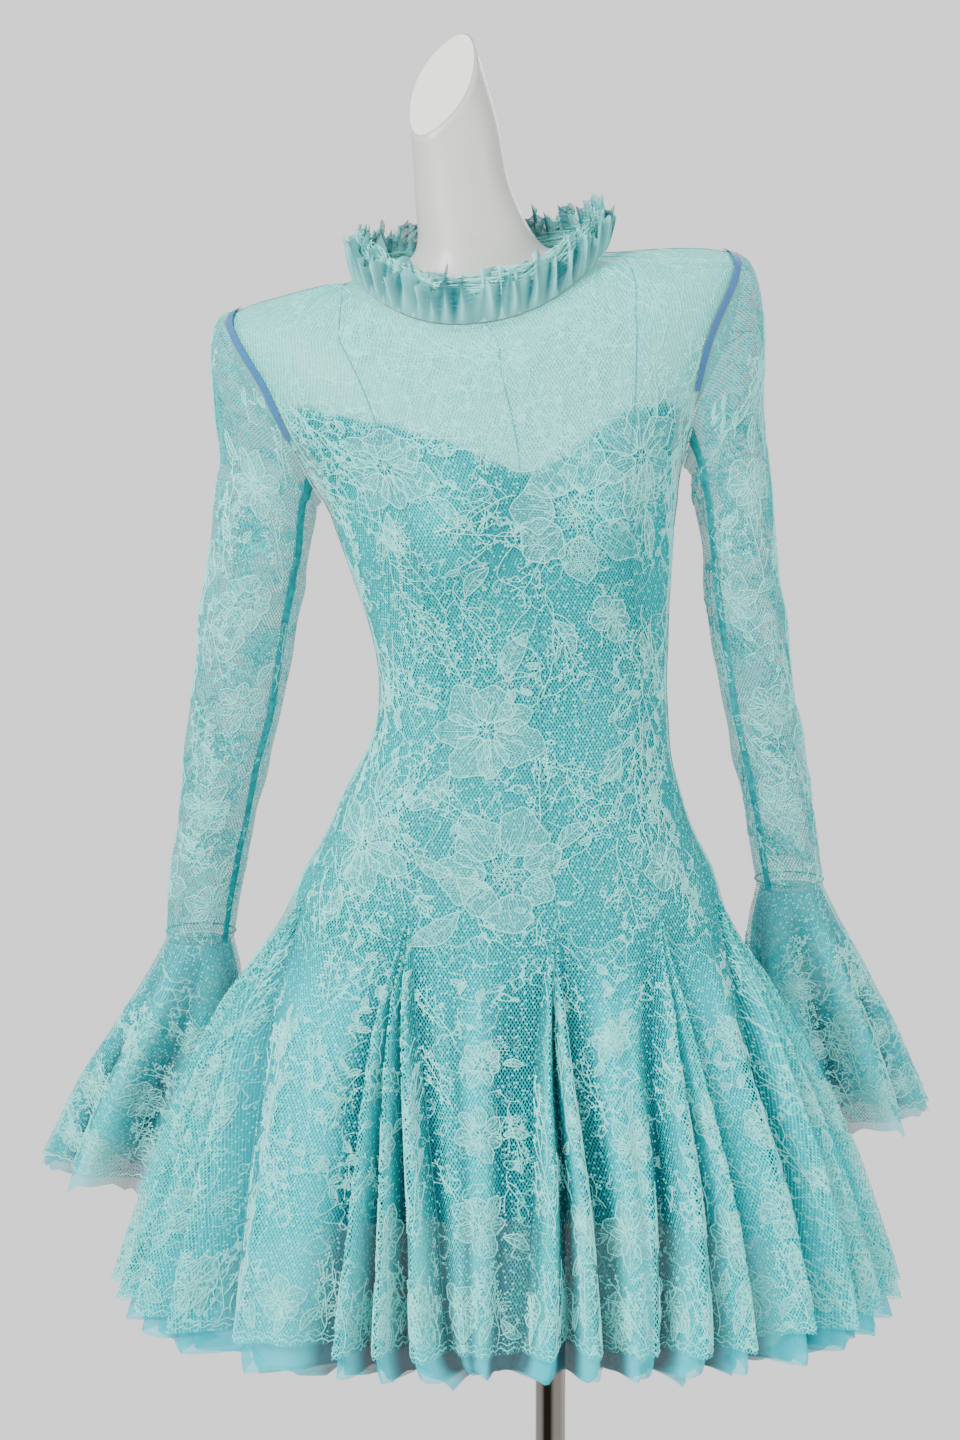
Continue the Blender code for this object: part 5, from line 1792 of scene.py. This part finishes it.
class DRESS_OT_stage(bpy.types.Operator):
    """Lays the floor, sets the lights and the camera"""

    bl_idname = "dress.stage"
    bl_label = "Stage"

    def execute(self, context):
        bpy.ops.object.select_all(action="DESELECT")
        bpy.ops.mesh.primitive_circle_add(
            vertices=96, radius=FLOOR_RADIUS, fill_type="NGON", location=(0, 0, 0)
        )
        floor = context.object
        floor.name = "floor"
        stuff = Finish("pale_floor", context.scene.stand_colours.floor, 0.8)
        grain = stuff.noise(30.0, 3.0)
        pale = context.scene.stand_colours.floor
        stuff.feed(Base_Color=stuff.blend(grain, tuple(c * 0.97 for c in pale), pale))
        floor.data.materials.append(stuff.stuff)

        world = bpy.data.worlds.new("pale_room")
        world.use_nodes = True
        tree = world.node_tree
        room = tree.nodes["Background"]
        room.inputs[0].default_value = (*ROOM_COLOUR, 1)
        seen = Value(tree, tree.nodes.new("ShaderNodeLightPath").outputs["Is Camera Ray"])
        strength = seen * (ROOM_SEEN - ROOM_STRENGTH) + ROOM_STRENGTH
        tree.links.new(strength.socket, room.inputs[1])
        context.scene.world = world
        for name, place, aim, size, power in LAMPS:
            lamp = bpy.data.lights.new(name, "AREA")
            lamp.energy, lamp.size = power, size
            lamp.shape = "DISK"
            holder = bpy.data.objects.new(name, lamp)
            holder.location = place
            facing = Vector(aim) - Vector(place)
            holder.rotation_euler = facing.to_track_quat("-Z", "Y").to_euler()
            context.scene.collection.objects.link(holder)

        lens = bpy.data.cameras.new("camera")
        lens.sensor_fit = "VERTICAL"
        lens.angle_y = 2 * math.atan(PHOTO_HEIGHT / 2 / CAMERA_PIXELS)
        lens.dof.use_dof = False
        camera = bpy.data.objects.new("camera", lens)
        camera.location = CAMERA_PLACE
        camera.rotation_euler = (math.radians(90 - CAMERA_PITCH), 0, 0)
        context.scene.collection.objects.link(camera)
        context.scene.camera = camera
        return {"FINISHED"}


class DRESS_OT_stand(bpy.types.Operator):
    """Finishes the form, its pole and its base"""

    bl_idname = "dress.stand"
    bl_label = "Form and stand"

    def execute(self, context):
        colours = context.scene.stand_colours
        # the form takes the darker white as painted shade, and its cap the brighter white as
        # painted light
        shell = form_shell("painted_form", form_finish("form_satin_white", colours.form),
                           form_finish("neck_cap_white", colours.cap))
        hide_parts("form")
        for name, stuff in (("pole", chrome_finish()), ("base", steel_finish())):
            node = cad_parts[name]
            node.data.materials.clear()
            node.data.materials.append(stuff)
        return {"FINISHED"}


class DRESS_OT_lining(bpy.types.Operator):
    """Lays the strapless lining on the form"""

    bl_idname = "dress.lining"
    bl_label = "Lining"

    def execute(self, context):
        colours = context.scene.dress_colours
        silk = lining_finish(colours.lining, colours.lining_shade_and_tone)
        for part in ("front", "back"):
            lay("silk_" + part, lining_rows(part), silk, ["lining_" + part])
        return {"FINISHED"}


class DRESS_OT_lace(bpy.types.Operator):
    """Hangs the lace panels and godets"""

    bl_idname = "dress.lace"
    bl_label = "Lace panels and godets"

    def execute(self, context):
        for gore in GORES:
            godet = gore.name.startswith("godet")
            rows = godet_rows(gore) if godet else panel_rows(gore)
            lay("cloth_" + gore.name, rows, lace_stuff(), ["lace_" + gore.name], lift=LACE / 2)
        return {"FINISHED"}


class DRESS_OT_net(bpy.types.Operator):
    """Hangs the two net layers under the skirt"""

    bl_idname = "dress.net"
    bl_label = "Net layers"

    def execute(self, context):
        _, colours, _ = settings()
        tones = (colours.net, colours.net_shade_and_tone, TULLE_PITCH, TULLE_THREAD)
        net = net_finish("net_layers", *tones, OUTER_COVER, faded=True)
        close = net_finish("net_close", *tones, INNER_COVER, faded=True)
        outer, inner = (net_rows(*layer) for layer in NET_LAYERS)
        lay("net_outer", outer, net, ["under_skirt"])
        lay("net_inner", inner, close, [])
        return {"FINISHED"}


class DRESS_OT_sleeves(bpy.types.Operator):
    """Hangs the sheer sleeves and the bell cuffs with their net"""

    bl_idname = "dress.sleeves"
    bl_label = "Sleeves and cuffs"

    def execute(self, context):
        sizes, colours, _ = settings()
        sheer = net_finish(
            "sheer_lace", colours.lining, colours.lining_shade_and_tone, sizes.pitch, sizes.thread,
            SHEER_COVER, colours.sleeve, colours.sleeve
        )
        net = net_finish(
            "cuff_net", colours.net, colours.net_shade_and_tone, TULLE_PITCH, TULLE_THREAD, OUTER_COVER
        )
        for side, word, hangs, cuff in (
            (-1, "left", SLEEVE_LEFT, CUFF_LEFT), (1, "right", SLEEVE_RIGHT, CUFF_RIGHT)
        ):
            rows = wrinkle(sleeve_rows(side, hangs), 0.0018, side)
            lay("sheer_sleeve_" + word, rows, sheer,
                ["sleeve_" + word], lift=LACE / 2, middle=0.25 if side < 0 else 0.75)
            lay("bell_cuff_" + word, cuff_rows(cuff, side, LACE / 2, 1.0), lace_stuff(),
                ["cuff_" + word])
            lay("bell_net_" + word, cuff_rows(cuff, side, -UNDER_INSET, 1.10, 0.10), net,
                ["cuff_" + word + "_under"])
        return {"FINISHED"}


class DRESS_OT_collar(bpy.types.Operator):
    """Sets the standing frill of the collar on the neck seam"""

    bl_idname = "dress.collar"
    bl_label = "Collar"

    def execute(self, context):
        _, colours, _ = settings()
        frill = net_finish(
            "frill_lace", colours.cord, colours.lace_shade_and_tone, FRILL_PITCH, FRILL_THREAD, FRILL_COVER
        )
        for layer, name in enumerate(("collar_frill", "collar_frill_outer")):
            lay(name, collar_rows(layer), frill, [] if layer else ["collar_ruffle"])
        return {"FINISHED"}


class DRESS_OT_tapes(bpy.types.Operator):
    """Lays the blue tapes on the upper armholes"""

    bl_idname = "dress.tapes"
    bl_label = "Armhole tapes"

    def execute(self, context):
        blue = tape_finish(context.scene.dress_colours.tape)
        for side, word in ((-1, "left"), (1, "right")):
            lay("band_" + word, tape_rows(side), blue, ["tape_" + word])
        return {"FINISHED"}


class DRESS_OT_flowers(bpy.types.Operator):
    """Couches the corded flowers, sprigs and seams on the lace"""

    bl_idname = "dress.flowers"
    bl_label = "Corded flowers"

    def execute(self, context):
        colours = context.scene.dress_colours
        cord = cord_finish("lace_cord", colours.cord, colours.cord_deep)
        filled = filled_finish(colours.cord, colours.cord_deep)
        seam = cord_finish("seam_cord", colours.lining, colours.lace_shade_and_tone)
        hung = {"side": [], "front": [], "back": []}
        for gore in GORES:
            place = next(word for word in hung if word in gore.name)
            hung[place].append((trim_gore, gore))
        groups = {
            "bodice_front": [(trim_bodice, "front")],
            "bodice_back": [(trim_bodice, "back")],
            "skirt_front": hung["front"],
            "skirt_sides": hung["side"],
            "skirt_back": hung["back"],
            "sleeve_left": [(trim_sleeve, "left"), (trim_cuff, "left")],
            "sleeve_right": [(trim_sleeve, "right"), (trim_cuff, "right")],
        }
        for name, steps in groups.items():
            cords, fills = Pile(), Pile()
            for trim, piece in steps:
                trim(piece, cords, fills)
            cords.piece("cords_" + name, cord)
            fills.piece("petals_" + name, filled)
        cords = Pile()
        trim_collar(cords)
        cords.piece("cords_collar", cord)
        cords = Pile()
        seam_cords(cords)
        cords.piece("seams", seam)
        return {"FINISHED"}


class DRESS_PT_panel(bpy.types.Panel):
    """Lists the dress's sizes, colours and steps"""

    bl_label = "Lace dress"
    bl_space_type = "VIEW_3D"
    bl_region_type = "UI"
    bl_category = "Lace dress"

    def draw(self, context):
        for group in (
            context.scene.lace_sizes, context.scene.dress_colours, context.scene.stand_colours
        ):
            box = self.layout.box()
            for key in group.__annotations__:
                box.prop(group, key)
        for operator in OPERATORS:
            self.layout.operator(operator.bl_idname)


OPERATORS = (
    DRESS_OT_stage, DRESS_OT_stand, DRESS_OT_lining, DRESS_OT_lace, DRESS_OT_net,
    DRESS_OT_sleeves, DRESS_OT_collar, DRESS_OT_tapes, DRESS_OT_flowers,
)
GROUPS = (LaceSizes, DressColours, StandColours)


def register():
    for kind in (*GROUPS, *OPERATORS, DRESS_PT_panel):
        bpy.utils.register_class(kind)
    bpy.types.Scene.lace_sizes = PointerProperty(type=LaceSizes)
    bpy.types.Scene.dress_colours = PointerProperty(type=DressColours)
    bpy.types.Scene.stand_colours = PointerProperty(type=StandColours)


def unregister():
    for key in ("lace_sizes", "dress_colours", "stand_colours"):
        delattr(bpy.types.Scene, key)
    for kind in (DRESS_PT_panel, *reversed(OPERATORS), *reversed(GROUPS)):
        bpy.utils.unregister_class(kind)


def main():
    register()
    for operator in OPERATORS:
        area, name = operator.bl_idname.split(".")
        getattr(getattr(bpy.ops, area), name)()


if __name__ == "__main__":
    main()
